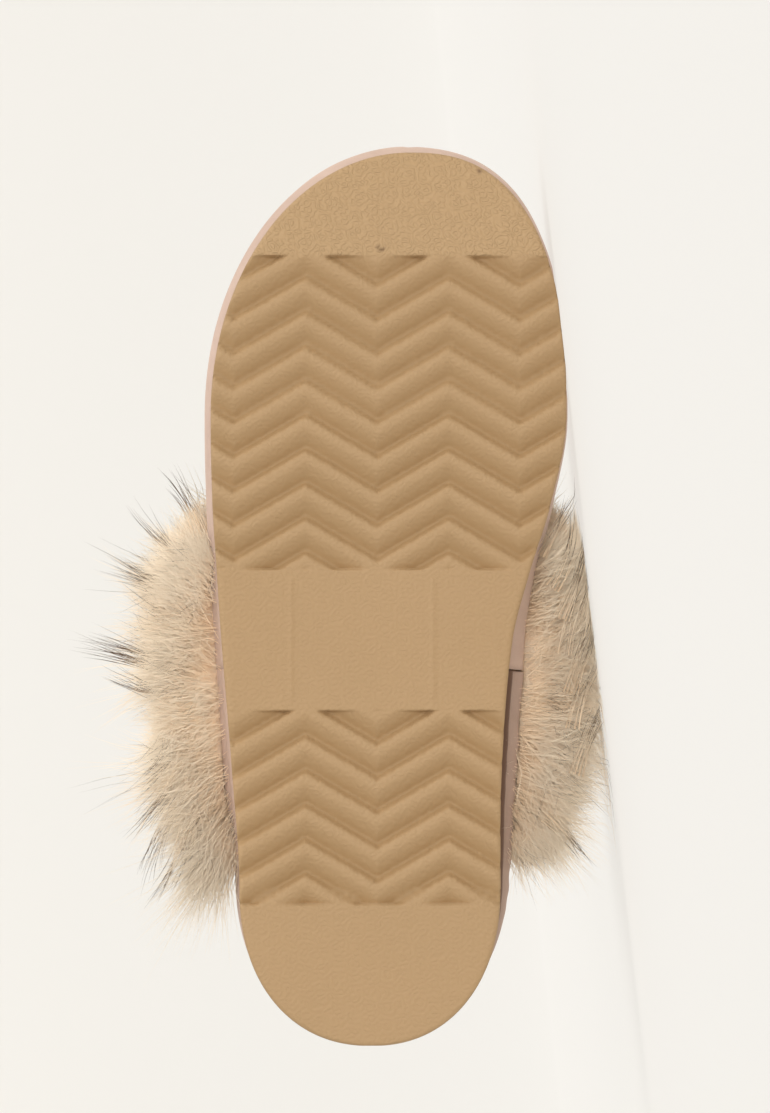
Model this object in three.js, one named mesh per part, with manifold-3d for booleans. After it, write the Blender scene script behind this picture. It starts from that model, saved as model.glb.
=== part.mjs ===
// Open-backed right slipper with a deep fur cuff, lying on its inner side as it rests on a floor.
// Millimetres. In the shoe's own frame +X runs from heel to toe, +Y to the medial side, +Z up from the tread.
import * as THREE from "three";
import { mergeVertices } from "three/addons/utils/BufferGeometryUtils.js";
import Module from "manifold-3d";

const wasm = await Module();
wasm.setup();

const { clamp, lerp, mapLinear, degToRad } = THREE.MathUtils;

// Driving dimensions of the sole
const SOLE_LENGTH = 250;
const OUTSOLE_THICKNESS = 12;
const OUTSOLE_EDGE_BEVEL = 0.8;
const PLATFORM_TOP = 24;
const INSOLE_THICKNESS = 3;
const INSOLE_REAR_INSET = 4;
const GAP = 0.3;

// Outline of the tread, as half widths each side of the heel's centre line
const HEEL_ROUND = { length: 44, fullness: 2.2 };
const TOE_ROUND = { length: 74, apexY: 11, lateralFullness: 2.0, medialFullness: 2.5 };
const OUTLINE = [
  { station: 44, lateral: 37, medial: 36 },
  { station: 76, lateral: 39, medial: 36.3 },
  { station: 113, lateral: 42, medial: 39.3 },
  { station: 132, lateral: 43.3, medial: 44.1 },
  { station: 151, lateral: 44.5, medial: 50 },
  { station: 176, lateral: 45, medial: 54.5 },
];
const TOE_SPRING = { start: 205, length: 45, rise: 5 };

// How far the suede stands out past the outsole on each side
const OVERHANG = [
  { station: 0, lateral: 1.0, medial: 1.0 },
  { station: 46, lateral: 0.4, medial: 3.5 },
  { station: 75, lateral: 1.2, medial: 5.5 },
  { station: 105, lateral: 1.6, medial: 5.2 },
  { station: 135, lateral: 1.6, medial: 2.6 },
  { station: 165, lateral: 1.5, medial: 1.5 },
  { station: 225, lateral: 1.8, medial: 1.6 },
  { station: 250, lateral: 2.6, medial: 2.6 },
];

// Platform roll behind the vamp: height above its seat, share of the overhang, and inset from it
const ROLL = [
  { height: 0, share: 0, inset: 1.2 },
  { height: 1.8, share: 0.35, inset: 0.6 },
  { height: 4.2, share: 0.9, inset: 0 },
  { height: 6.6, share: 1, inset: 0 },
  { height: 9, share: 0.85, inset: 0.4 },
  { height: 10.6, share: 0.5, inset: 1.2 },
  { height: 11.7, share: 0, inset: 2.6 },
];
const ROLL_MIDDLE = 5.5;

// Zigzag tread: V grooves in two fields, pointing to the toe at each apex
const GROOVE = { pitch: 9.6, mouth: 7.2, depth: 2.8, zigzag: 40, rise: 11.7, valleyY: 1.5 };
const TREAD_FIELDS = [
  { rear: 133, front: 220.5, firstGroove: 213.3, grooves: 10 },
  { rear: 39.5, front: 93.5, firstGroove: 85.2, grooves: 6 },
];

// Vamp: a suede wall lasted over the platform's edge, and the height of its ridge along the instep
const UPPER_WALL = 2;
const SIDE_WALL_TOP = 28;
const THROAT = { sideStation: 105, topStation: 128 };
const RIDGE = [
  { fromToe: 0, height: 28 },
  { fromToe: 4, height: 36.5 },
  { fromToe: 14, height: 44.5 },
  { fromToe: 35, height: 51.5 },
  { fromToe: 62, height: 58 },
  { fromToe: 92, height: 67.5 },
  { fromToe: 150, height: 88 },
  { fromToe: 190, height: 97 },
];
const RIDGE_TO_MEDIAL = 4;
const ARCH_FULLNESS = { across: 2.5, up: 2.1 };

// Fur cuff: its section round the throat's edge, along the foot (rearward is plus) and out from the vamp
const CUFF_SECTION = [
  { along: -28, out: 1 },
  { along: -36, out: 6 },
  { along: -31, out: 14 },
  { along: -16, out: 20 },
  { along: 6, out: 23 },
  { along: 30, out: 22 },
  { along: 52, out: 15 },
  { along: 59, out: 8 },
  { along: 42, out: 2.5 },
  { along: 4, out: 1 },
];
// Depth of the fur along the throat's girth, from its medial end to its lateral end
const CUFF_DEPTH = [
  { girth: 0.035, share: 1.15 },
  { girth: 0.14, share: 1.38 },
  { girth: 0.3, share: 1.22 },
  { girth: 0.5, share: 1.15 },
  { girth: 0.75, share: 1 },
  { girth: 0.88, share: 0.92 },
  { girth: 0.965, share: 0.8 },
];
// Depth under the vamp's face that is kept clear of fur
const CUFF_CLEARING = 9;
const LOCKS = { rows: 16, perRow: 6, radius: 8, root: 5.5, shortest: 7, spread: 10, sides: 5, curl: 0.5 };

// How the shoe rests: heel raised on the fur, sole leaning a little toward the floor, edges pressed flat
const REST = { heelRaiseDeg: 6.5, leanDeg: 3, press: 0.3 };

// Steps of the meshes
const STEPS = { heel: 8, middle: 12, toe: 12, wall: 3, arch: 16, cuff: 18, section: 16 };

const FINISHES = {
  rubber: { color: 0xbd9c70, roughness: 0.7 },
  suede: { color: 0xcdb4a6, roughness: 0.95 },
  plush: { color: 0xe9dfd0, roughness: 1 },
  fur: { color: 0xd9c6aa, roughness: 1 },
};

// A value read off a short table, smooth between its rows and flat beyond its ends
function readTable(rows, column, value, at) {
  const last = rows.length - 1;
  if (at <= rows[0][column]) return rows[0][value];
  if (at >= rows[last][column]) return rows[last][value];
  const i = rows.findIndex((row) => row[column] > at) - 1;
  const slope = (k) => {
    if (k <= 0 || k >= last) return 0;
    return (rows[k + 1][value] - rows[k - 1][value]) / (rows[k + 1][column] - rows[k - 1][column]);
  };
  const span = rows[i + 1][column] - rows[i][column];
  const u = (at - rows[i][column]) / span;
  const blend = u * u * (3 - 2 * u);
  const bend = slope(i) * u * (1 - u) * (1 - u) + slope(i + 1) * u * u * (u - 1);
  return lerp(rows[i][value], rows[i + 1][value], blend) + span * bend;
}

// Superellipse quarter: 1 at the middle, 0 at the end
function roundEnd(share, fullness) {
  return Math.pow(Math.max(0, 1 - Math.pow(share, fullness)), 1 / fullness);
}

// The foot's length as a run from heel (0) to toe (1), crowded toward both round ends
const HEEL_SHARE = 0.25;
const TOE_SHARE = 0.6;
const TOE_START = SOLE_LENGTH - TOE_ROUND.length;

function stationAt(run) {
  if (run < HEEL_SHARE) {
    return HEEL_ROUND.length * (1 - Math.cos((run / HEEL_SHARE) * (Math.PI / 2)));
  }
  if (run < TOE_SHARE) {
    return mapLinear(run, HEEL_SHARE, TOE_SHARE, HEEL_ROUND.length, TOE_START);
  }
  const share = (run - TOE_SHARE) / (1 - TOE_SHARE);
  return TOE_START + TOE_ROUND.length * Math.sin(share * (Math.PI / 2));
}

// The run of a station between the two round ends
function runAt(station) {
  return mapLinear(station, HEEL_ROUND.length, TOE_START, HEEL_SHARE, TOE_SHARE);
}

const sideSign = (side) => (side === "medial" ? 1 : -1);

function edgeY(side, station) {
  const full = sideSign(side) * readTable(OUTLINE, "station", side, station);
  if (station < HEEL_ROUND.length) {
    return full * roundEnd(1 - station / HEEL_ROUND.length, HEEL_ROUND.fullness);
  }
  if (station > TOE_START) {
    const fullness = side === "medial" ? TOE_ROUND.medialFullness : TOE_ROUND.lateralFullness;
    const share = roundEnd((station - TOE_START) / TOE_ROUND.length, fullness);
    return lerp(TOE_ROUND.apexY, full, share);
  }
  return full;
}

// A point of the outline, grown outward along the outline's own normal
function edgePoint(side, run, grow) {
  const at = (r) => new THREE.Vector2(stationAt(r), edgeY(side, stationAt(r)));
  if (run <= 0) return new THREE.Vector2(-grow, 0);
  if (run >= 1) return new THREE.Vector2(SOLE_LENGTH + grow, TOE_ROUND.apexY);
  const step = 0.004;
  const along = at(Math.min(1, run + step)).sub(at(Math.max(0, run - step))).normalize();
  const outward = new THREE.Vector2(-along.y, along.x).multiplyScalar(sideSign(side));
  return at(run).addScaledVector(outward, grow);
}

// The whole shoe lifts at the toe
function toeSpring(x) {
  return TOE_SPRING.rise * Math.pow(Math.max(0, (x - TOE_SPRING.start) / TOE_SPRING.length), 2);
}

function overhang(side, run) {
  return readTable(OVERHANG, "station", side, stationAt(run));
}

// A closed geometry as a solid that can be joined and cut, with touching points made one
function solidOf(geometry) {
  const bare = new THREE.BufferGeometry();
  bare.setAttribute("position", geometry.getAttribute("position"));
  bare.setIndex(geometry.index);
  const merged = mergeVertices(bare, 1e-3);
  const corners = merged.index.array;
  const kept = [];
  for (let i = 0; i < corners.length; i += 3) {
    const [a, b, c] = corners.slice(i, i + 3);
    if (a !== b && b !== c && c !== a) kept.push(a, b, c);
  }
  const mesh = new wasm.Mesh({
    numProp: 3,
    vertProperties: new Float32Array(merged.attributes.position.array),
    triVerts: new Uint32Array(kept),
  });
  return new wasm.Manifold(mesh);
}

function solidFrom(points, triangles) {
  const geometry = new THREE.BufferGeometry();
  geometry.setAttribute("position", new THREE.Float32BufferAttribute(points.flat(), 3));
  geometry.setIndex(triangles.flat());
  return solidOf(geometry);
}

// Two triangles for each four-cornered face
function splitFaces(faces) {
  return faces.flatMap(([a, b, c, d]) => [[a, b, c], [a, c, d]]);
}

// Runs shared by the sole's layers and the vamp
const RUNS = [
  ...Array.from({ length: STEPS.heel }, (_, i) => (HEEL_SHARE * i) / STEPS.heel),
  ...Array.from({ length: STEPS.middle }, (_, i) => lerp(HEEL_SHARE, TOE_SHARE, i / STEPS.middle)),
  ...Array.from({ length: STEPS.toe + 1 }, (_, i) => lerp(TOE_SHARE, 1, i / STEPS.toe)),
];

// One closed ring of the outline: heel tip, up the medial side, toe tip, back down the lateral side
function outlineRing(runs, z, growOf) {
  const medial = runs.map((run) => edgePoint("medial", run, growOf("medial", run)));
  const lateral = runs.slice(1, -1).map((run) => edgePoint("lateral", run, growOf("lateral", run)));
  return [...medial, ...lateral.reverse()].map((p) => [p.x, p.y, z + toeSpring(p.x)]);
}

// A slab lofted through rings from bottom to top, closed by strips from side to side
function slabSolid(rings) {
  const count = rings[0].length;
  const half = count / 2;
  const top = (rings.length - 1) * count;
  const across = (i) => (count - i) % count;
  const faces = [];
  for (let start = 0; start < top; start += count) {
    for (let i = 0; i < count; i += 1) {
      const next = (i + 1) % count;
      faces.push([start + next, start + i, start + count + i, start + count + next]);
    }
  }
  for (let i = 0; i < half; i += 1) {
    faces.push([i, i + 1, across(i + 1), across(i)]);
    faces.push([top + across(i), top + across(i + 1), top + i + 1, top + i]);
  }
  return solidFrom(rings.flat(), splitFaces(faces));
}

// A V groove that zigzags across the sole, open below the tread
function grooveSolid(valleyStation) {
  const halfZigzag = GROOVE.zigzag / 2;
  const below = 1;
  const flare = (GROOVE.mouth / 2) * Math.hypot(1, GROOVE.rise / halfZigzag) * (1 + below / GROOVE.depth);
  const corners = [-3, -2, -1, 0, 1, 2, 3];
  const points = corners.flatMap((k) => {
    const y = GROOVE.valleyY + k * halfZigzag;
    const x = valleyStation + (k % 2 === 0 ? 0 : GROOVE.rise);
    return [[x - flare, y, -below], [x, y, GROOVE.depth], [x + flare, y, -below]];
  });
  const end = points.length - 3;
  const sides = [];
  for (let a = 0; a < end; a += 1) {
    const b = a % 3 === 2 ? a - 2 : a + 1;
    sides.push([a, b, b + 3, a + 3]);
  }
  return solidFrom(points, [[0, 2, 1], ...splitFaces(sides), [end, end + 1, end + 2]]);
}

function makeOutsole() {
  const ring = (z, grow) => outlineRing(RUNS, z, () => grow);
  const slab = slabSolid([
    ring(0, -OUTSOLE_EDGE_BEVEL),
    ring(OUTSOLE_EDGE_BEVEL, 0),
    ring(OUTSOLE_THICKNESS, 0),
  ]);
  return TREAD_FIELDS.reduce((sole, field) => {
    const window = new THREE.BoxGeometry(field.front - field.rear, 160, OUTSOLE_THICKNESS);
    window.translate((field.front + field.rear) / 2, 0, 0);
    const grooves = Array.from({ length: field.grooves }, (_, i) =>
      grooveSolid(field.firstGroove - i * GROOVE.pitch),
    );
    return sole.subtract(wasm.Manifold.union(grooves).intersect(solidOf(window)));
  }, slab);
}

// The suede's bulge up the vamp's side wall: none at the seat, all of the overhang at the top
function bulge(height) {
  return Math.sin(clamp(height, 0, 1) * (Math.PI / 2));
}

const VAMP_SEAT = OUTSOLE_THICKNESS + GAP;
const THROAT_RUN = runAt(THROAT.sideStation);

// The platform stays inside the vamp's wall in front of the throat and stands out in a roll behind it
function platformSolid(extra) {
  const step = 0.0024;
  const seam = THROAT_RUN - step;
  const runs = [
    ...RUNS.filter((run) => run < seam - 2 * step),
    seam - step,
    seam,
    ...RUNS.filter((run) => run > seam + 2 * step),
  ];
  const rings = ROLL.map(({ height, share, inset }) => {
    const wallHeight = height / (SIDE_WALL_TOP - VAMP_SEAT);
    const growOf = (side, run) => {
      if (run < seam) return overhang(side, run) * share - inset + extra;
      return overhang(side, run) * bulge(wallHeight) - UPPER_WALL - 2 * GAP + extra;
    };
    const lift = height > ROLL_MIDDLE ? extra : -extra;
    return outlineRing(runs, VAMP_SEAT + height + lift, growOf);
  });
  return slabSolid(rings);
}

function makeInsole() {
  const bottom = PLATFORM_TOP + GAP;
  const growOf = (inset) => (side, run) => {
    if (run < THROAT_RUN) return -INSOLE_REAR_INSET - inset;
    return overhang(side, run) * 0.8 - UPPER_WALL - 2 * GAP - inset;
  };
  return slabSolid([
    outlineRing(RUNS, bottom, growOf(0)),
    outlineRing(RUNS, bottom + INSOLE_THICKNESS * 0.6, growOf(0)),
    outlineRing(RUNS, bottom + INSOLE_THICKNESS, growOf(1.2)),
  ]);
}

// Girth of the vamp: 0 at the medial seat, up the wall, over the arch, 1 at the lateral seat
const GIRTH_STEPS = 2 * STEPS.wall + STEPS.arch;
const WALL_GIRTH = STEPS.wall / GIRTH_STEPS;
const GIRTHS = Array.from({ length: GIRTH_STEPS + 1 }, (_, i) => i / GIRTH_STEPS);

function vampPoint(run, girth) {
  const side = girth < 0.5 ? "medial" : "lateral";
  const wallHeight = Math.min(girth, 1 - girth) / WALL_GIRTH;
  if (wallHeight <= 1) {
    const edge = edgePoint(side, run, overhang(side, run) * bulge(wallHeight));
    return new THREE.Vector3(edge.x, edge.y, lerp(VAMP_SEAT, SIDE_WALL_TOP, wallHeight) + toeSpring(edge.x));
  }
  const medial = edgePoint("medial", run, overhang("medial", run));
  const lateral = edgePoint("lateral", run, overhang("lateral", run));
  const angle = mapLinear(girth, WALL_GIRTH, 1 - WALL_GIRTH, 0, Math.PI);
  const cosine = Math.cos(angle);
  const toMedial = (1 + Math.sign(cosine) * Math.pow(Math.abs(cosine), 2 / ARCH_FULLNESS.across)) / 2;
  const up = Math.pow(Math.sin(angle), 2 / ARCH_FULLNESS.up);
  const plan = lateral.lerp(medial, toMedial);
  const fromToe = SOLE_LENGTH - stationAt(run);
  const rise = readTable(RIDGE, "fromToe", "height", fromToe) - SIDE_WALL_TOP;
  const lean = RIDGE_TO_MEDIAL * up * Math.min(1, fromToe / 40);
  return new THREE.Vector3(plan.x, plan.y + lean, SIDE_WALL_TOP + rise * up + toeSpring(plan.x));
}

// Outward normal of the vamp, with one shared direction at the toe's tip
function vampNormal(run, girth) {
  if (run > 0.999) return new THREE.Vector3(1, 0, 0);
  const alongFoot = vampPoint(run + 0.001, girth).sub(vampPoint(run - 0.001, girth));
  const round = vampPoint(run, Math.min(1, girth + 0.004)).sub(vampPoint(run, Math.max(0, girth - 0.004)));
  return round.cross(alongFoot).normalize();
}

// The throat's edge runs forward from both sides to the top of the instep
function throatStation(girth) {
  const share = Math.pow(Math.sin(Math.PI * clamp(girth, 0, 1)), 1.5);
  return lerp(THROAT.sideStation, THROAT.topStation, share);
}

// Rows of points from the throat to the toe, stood out from the vamp's outer face
function vampRows(standOut) {
  const runs = RUNS.filter((run) => run > THROAT_RUN + 0.005);
  const shares = runs.map((run) => (run - THROAT_RUN) / (1 - THROAT_RUN));
  return [0, ...shares].map((share) =>
    GIRTHS.map((girth) => {
      const run = lerp(runAt(throatStation(girth)), 1, share);
      return vampPoint(run, girth).addScaledVector(vampNormal(run, girth), standOut).toArray();
    }),
  );
}

// The vamp as one hollow wall between two faces, open at the throat and underneath
function vampSolid(outerFace, innerFace) {
  const outer = vampRows(outerFace);
  const inner = vampRows(innerFace);
  const columns = GIRTHS.length;
  const innerStart = outer.length * columns;
  const faces = [];
  for (let row = 0; row + 1 < outer.length; row += 1) {
    const a = row * columns;
    const b = a + columns;
    for (let j = 0; j + 1 < columns; j += 1) {
      faces.push([a + j, a + j + 1, b + j + 1, b + j]);
      faces.push([a + j, b + j, b + j + 1, a + j + 1].map((i) => i + innerStart));
    }
    const end = columns - 1;
    faces.push([a, b, innerStart + b, innerStart + a]);
    faces.push([a + end, innerStart + a + end, innerStart + b + end, b + end]);
  }
  for (let j = 0; j + 1 < columns; j += 1) {
    faces.push([j, innerStart + j, innerStart + j + 1, j + 1]);
  }
  return solidFrom([...outer.flat(), ...inner.flat()], splitFaces(faces));
}

// A point of the fur, along and out from the throat's edge
function cuffPoint(girth, along, out) {
  const run = runAt(throatStation(girth) - along);
  return vampPoint(run, girth).addScaledVector(vampNormal(run, girth), out);
}

// The closed section of the fur at one girth
function cuffSection(girth) {
  const depth = readTable(CUFF_DEPTH, "girth", "share", girth);
  const points = CUFF_SECTION.map(({ along, out }) => cuffPoint(girth, along, out * depth));
  return new THREE.CatmullRomCurve3(points, true);
}

// One tapered lock of fur that curls as it leaves the cuff
function lockSolid(root, direction, curl, length) {
  const side = new THREE.Vector3(0.3, 0.5, 0.8).cross(direction).normalize();
  const other = direction.clone().cross(side);
  const levels = [0, 0.4, 0.75];
  const axisAt = (share) =>
    root.clone().addScaledVector(direction, length * share).addScaledVector(curl, length * share * share);
  const points = levels.flatMap((share) =>
    Array.from({ length: LOCKS.sides }, (_, i) => {
      const angle = (i / LOCKS.sides) * 2 * Math.PI;
      const radius = LOCKS.radius * (1 - share);
      const rim = axisAt(share).addScaledVector(side, radius * Math.cos(angle));
      return rim.addScaledVector(other, radius * Math.sin(angle)).toArray();
    }),
  );
  const tip = points.push(axisAt(1).toArray()) - 1;
  const triangles = [];
  for (let i = 0; i < LOCKS.sides; i += 1) {
    const next = (i + 1) % LOCKS.sides;
    for (let start = 0; start < 2 * LOCKS.sides; start += LOCKS.sides) {
      const above = start + LOCKS.sides;
      triangles.push(...splitFaces([[start + i, start + next, above + next, above + i]]));
    }
    triangles.push([2 * LOCKS.sides + i, 2 * LOCKS.sides + next, tip]);
    if (i > 1) triangles.push([0, i, i - 1]);
  }
  return solidFrom(points, triangles);
}

// Locks set in rows round the throat, each leaving the fur's face and falling rearward
function makeLocks() {
  const locks = [];
  for (let row = 0; row < LOCKS.rows; row += 1) {
    for (let k = 0; k < LOCKS.perRow; k += 1) {
      const girth = lerp(0.06, 0.94, row / (LOCKS.rows - 1));
      const share = lerp(0.1, 0.74, (k + 0.5 * (row % 2)) / LOCKS.perRow);
      const section = cuffSection(girth);
      const face = section.getPoint(share);
      const heart = cuffPoint(girth, 4, 6);
      const direction = face.clone().sub(heart).normalize();
      const turn = Math.sin(7.3 * row + 4.1 * k);
      const length = LOCKS.root + LOCKS.shortest + LOCKS.spread * (0.5 + 0.5 * Math.sin(3.7 * row + 2.3 * k));
      const curl = new THREE.Vector3(-0.5, 0.6 * turn, -0.4).multiplyScalar(LOCKS.curl);
      locks.push(lockSolid(face.addScaledVector(direction, -LOCKS.root), direction, curl, length));
    }
  }
  return locks;
}

// The fur band round the throat, its locks fused on, cleared from the vamp and the platform
function makeFurCuff() {
  const first = CUFF_DEPTH[0].girth;
  const last = CUFF_DEPTH[CUFF_DEPTH.length - 1].girth;
  const rings = Array.from({ length: STEPS.cuff + 1 }, (_, i) =>
    cuffSection(lerp(first, last, i / STEPS.cuff)).getPoints(STEPS.section).slice(0, -1),
  );
  const count = STEPS.section;
  const triangles = [];
  for (let i = 0; i < STEPS.cuff * count; i += 1) {
    const next = i % count === count - 1 ? i + 1 - count : i + 1;
    triangles.push(...splitFaces([[i, next, next + count, i + count]]));
  }
  const end = STEPS.cuff * count;
  for (let i = 2; i < count; i += 1) {
    triangles.push([0, i, i - 1], [end, end + i - 1, end + i]);
  }
  const points = rings.flat().map((point) => point.toArray());
  const fur = wasm.Manifold.union([solidFrom(points, triangles), ...makeLocks()]);
  return fur.subtract(vampSolid(GAP, -CUFF_CLEARING)).subtract(platformSolid(GAP));
}

// The resting pose: the medial side turned down, then leaned and with the heel raised
const resting = new THREE.Group();
resting.rotation.order = "YXZ";
resting.rotation.set(degToRad(REST.leanDeg - 90), degToRad(REST.heelRaiseDeg), 0);
resting.updateMatrix();
const toShoe = resting.matrix.clone().invert();
const floorNormal = new THREE.Vector3(0, 0, 1).transformDirection(toShoe);

function geometryFrom(solid) {
  const mesh = solid.getMesh();
  const geometry = new THREE.BufferGeometry();
  geometry.setAttribute("position", new THREE.BufferAttribute(mesh.vertProperties, 3));
  geometry.setIndex(new THREE.BufferAttribute(mesh.triVerts, 1));
  geometry.computeVertexNormals();
  return geometry;
}

// Height of a solid's lowest point once the shoe lies down
function lowestPoint(solid) {
  const position = geometryFrom(solid).getAttribute("position");
  const heights = Array.from({ length: position.count }, (_, i) =>
    new THREE.Vector3().fromBufferAttribute(position, i).dot(floorNormal),
  );
  return Math.min(...heights);
}

const outsole = makeOutsole();
const upper = vampSolid(0, -UPPER_WALL);
const floorLevel = Math.max(lowestPoint(outsole), lowestPoint(upper)) + REST.press;
const floorBlock = new THREE.BoxGeometry(600, 600, 100);
floorBlock.translate(0, 0, floorLevel - 50).applyMatrix4(toShoe);
const floor = solidOf(floorBlock);

const PIECES = [
  { name: "outsole", finish: "rubber", solid: outsole.subtract(floor) },
  { name: "midsole", finish: "suede", solid: platformSolid(0) },
  { name: "insole", finish: "plush", solid: makeInsole() },
  { name: "upper", finish: "suede", solid: upper.subtract(floor) },
  { name: "fur_cuff", finish: "fur", solid: makeFurCuff().subtract(floor) },
];

for (const { name, finish, solid } of PIECES) {
  const mesh = new THREE.Mesh(geometryFrom(solid), new THREE.MeshStandardMaterial(FINISHES[finish]));
  mesh.name = name;
  resting.add(mesh);
}

// Origin under the middle of the shoe's box, on the floor
const bounds = new THREE.Box3().setFromObject(resting, true);
const middle = bounds.getCenter(new THREE.Vector3());
resting.position.set(-middle.x, -middle.y, -floorLevel);

const slipper = new THREE.Group();
slipper.add(resting);
slipper.updateMatrixWorld(true);

export default slipper;
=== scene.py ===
"""Dresses an open-backed right slipper that lies on its inner side, with its sole to the camera.

All shapes are worked out in the shoe's own frame, in millimetres: x runs from the heel's end to the toe,
y to the inner (medial) side and z up from the tread. RestPose then lays them down in the frame of the part.
"""

from __future__ import annotations

import logging
import math
from dataclasses import dataclass, field
from enum import Enum

import bmesh
import bpy
import numpy as np
from mathutils import Matrix, Vector

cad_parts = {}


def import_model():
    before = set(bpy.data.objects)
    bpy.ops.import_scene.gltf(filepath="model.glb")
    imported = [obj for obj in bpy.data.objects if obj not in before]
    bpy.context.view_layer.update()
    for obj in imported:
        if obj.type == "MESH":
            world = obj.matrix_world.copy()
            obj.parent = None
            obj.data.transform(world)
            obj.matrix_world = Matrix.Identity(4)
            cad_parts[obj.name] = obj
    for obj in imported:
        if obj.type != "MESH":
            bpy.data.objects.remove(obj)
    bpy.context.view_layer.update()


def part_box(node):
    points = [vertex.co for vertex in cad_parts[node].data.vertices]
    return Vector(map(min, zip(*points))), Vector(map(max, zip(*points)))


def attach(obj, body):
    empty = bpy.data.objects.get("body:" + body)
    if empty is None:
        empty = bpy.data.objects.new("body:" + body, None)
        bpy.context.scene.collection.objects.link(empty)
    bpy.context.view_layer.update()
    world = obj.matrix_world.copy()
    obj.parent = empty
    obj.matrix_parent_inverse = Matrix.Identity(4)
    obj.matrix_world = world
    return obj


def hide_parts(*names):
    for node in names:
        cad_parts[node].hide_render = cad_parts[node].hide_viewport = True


Array = np.ndarray
LOG = logging.getLogger("slipper")
MM = 0.001
BODY = "root"
GOLDEN_SHARE = 0.6180339887
WELD_DISTANCE = 2e-6
FLAT_FACE = 1e-7


class Side(Enum):
    """The two sides of the foot, each with the sign of its direction along y."""

    MEDIAL = 1
    LATERAL = -1


class FurPlace(Enum):
    """Where a layer of hair grows: round the band, or on the band's two cut ends beside the sole."""

    BAND = "band"
    ENDS = "ends"


class Slot(Enum):
    """The record's material slots."""

    OUTSOLE = "outsole_rubber"
    SUEDE = "suede"
    LINING = "plush_lining"
    FUR = "fur_pile"


def read_table(at: Array, knots: tuple[float, ...], values: tuple[float, ...]) -> Array:
    """Reads a short table smoothly.

    Each span is a cubic whose slope at a row is the slope of the chord between that row's two neighbours,
    and zero at the first and last rows. Beyond the ends the value stays.

    Args:
        at: Where to read it.
        knots: The rows' places, rising.
        values: The rows' values.

    Returns:
        The values at the places asked for.
    """
    k = np.asarray(knots, float)
    v = np.asarray(values, float)
    slope = np.zeros_like(v)
    slope[1:-1] = (v[2:] - v[:-2]) / (k[2:] - k[:-2])
    x = np.clip(at, k[0], k[-1])
    i = np.clip(np.searchsorted(k, x, side="right") - 1, 0, len(k) - 2)
    span = k[i + 1] - k[i]
    u = (x - k[i]) / span
    blend = u * u * (3 - 2 * u)
    bend = slope[i] * u * (1 - u) ** 2 + slope[i + 1] * u * u * (u - 1)
    return v[i] * (1 - blend) + v[i + 1] * blend + span * bend


def ease(low: float, high: float, at: Array) -> Array:
    """Rises smoothly from 0 at low to 1 at high, as three u squared less two u cubed."""
    u = np.clip((np.asarray(at, float) - low) / (high - low), 0, 1)
    return u * u * (3 - 2 * u)


def unit(vectors: Array) -> Array:
    """The same directions with length one."""
    return vectors / np.maximum(np.linalg.norm(vectors, axis=-1, keepdims=True), 1e-9)


def soft_noise(points: Array, size: float, seed: int) -> Array:
    """A smooth bumpy field between about -1 and 1: the mean of sine waves in seeded directions.

    Args:
        points: Places in millimetres, three to a row.
        size: The bumps' spacing in millimetres.
        seed: Picks the directions.

    Returns:
        One value for each place.
    """
    rng = np.random.default_rng(seed)
    waves = unit(rng.normal(size=(7, 3))) * (2 * math.pi / size) * rng.uniform(0.6, 1.5, (7, 1))
    return np.sin(points @ waves.T + rng.uniform(0, 2 * math.pi, 7)).sum(-1) / 3.5


@dataclass
class RestPose:
    """Lays the shoe on its inner side, with the heel raised on the fur."""

    heel_raise_deg: float = 6.5
    lean_deg: float = 3.0
    offset: Array = field(default_factory=lambda: np.zeros(3))

    def turn(self) -> Array:
        """The rotation: first about x to lie down and lean, then about y to raise the heel.

        Returns:
            A matrix of three rows.
        """
        about_x = Matrix.Rotation(math.radians(self.lean_deg - 90), 3, "X")
        about_y = Matrix.Rotation(math.radians(self.heel_raise_deg), 3, "Y")
        return np.array(about_y @ about_x)

    def fit_to(self, outline: "SoleOutline", thickness: float) -> None:
        """Slides the pose so that the sole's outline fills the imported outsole's box.

        Args:
            outline: The sole's outline.
            thickness: The outsole's thickness.
        """
        run = np.linspace(0, 1, 400)
        edges = np.concatenate([outline.edge(side, run, np.zeros(400)) for side in Side])
        lift = outline.toe_spring(edges[:, 0])
        low = np.column_stack([edges, lift]) @ self.turn().T
        high = np.column_stack([edges, lift + thickness]) @ self.turn().T
        both = np.concatenate([low, high])
        box_low, box_high = (np.array(corner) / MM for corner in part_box("outsole"))
        self.offset = np.array(
            [
                box_low[0] - both[:, 0].min(),
                box_low[1] - both[:, 1].min(),
                box_high[2] - both[:, 2].max(),
            ]
        )

    def to_row(self, points: Array) -> Array:
        """Lays points down, pressed flat where they would go under the floor.

        Args:
            points: Places in shoe millimetres.

        Returns:
            Places in the part's metres.
        """
        laid = points @ self.turn().T + self.offset
        laid[..., 2] = np.maximum(laid[..., 2], 0.0)
        return laid * MM

    def direction(self, vector: tuple[float, float, float]) -> Vector:
        """A direction of the shoe in the part's frame."""
        return Vector(self.turn() @ np.array(vector, float))


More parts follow.
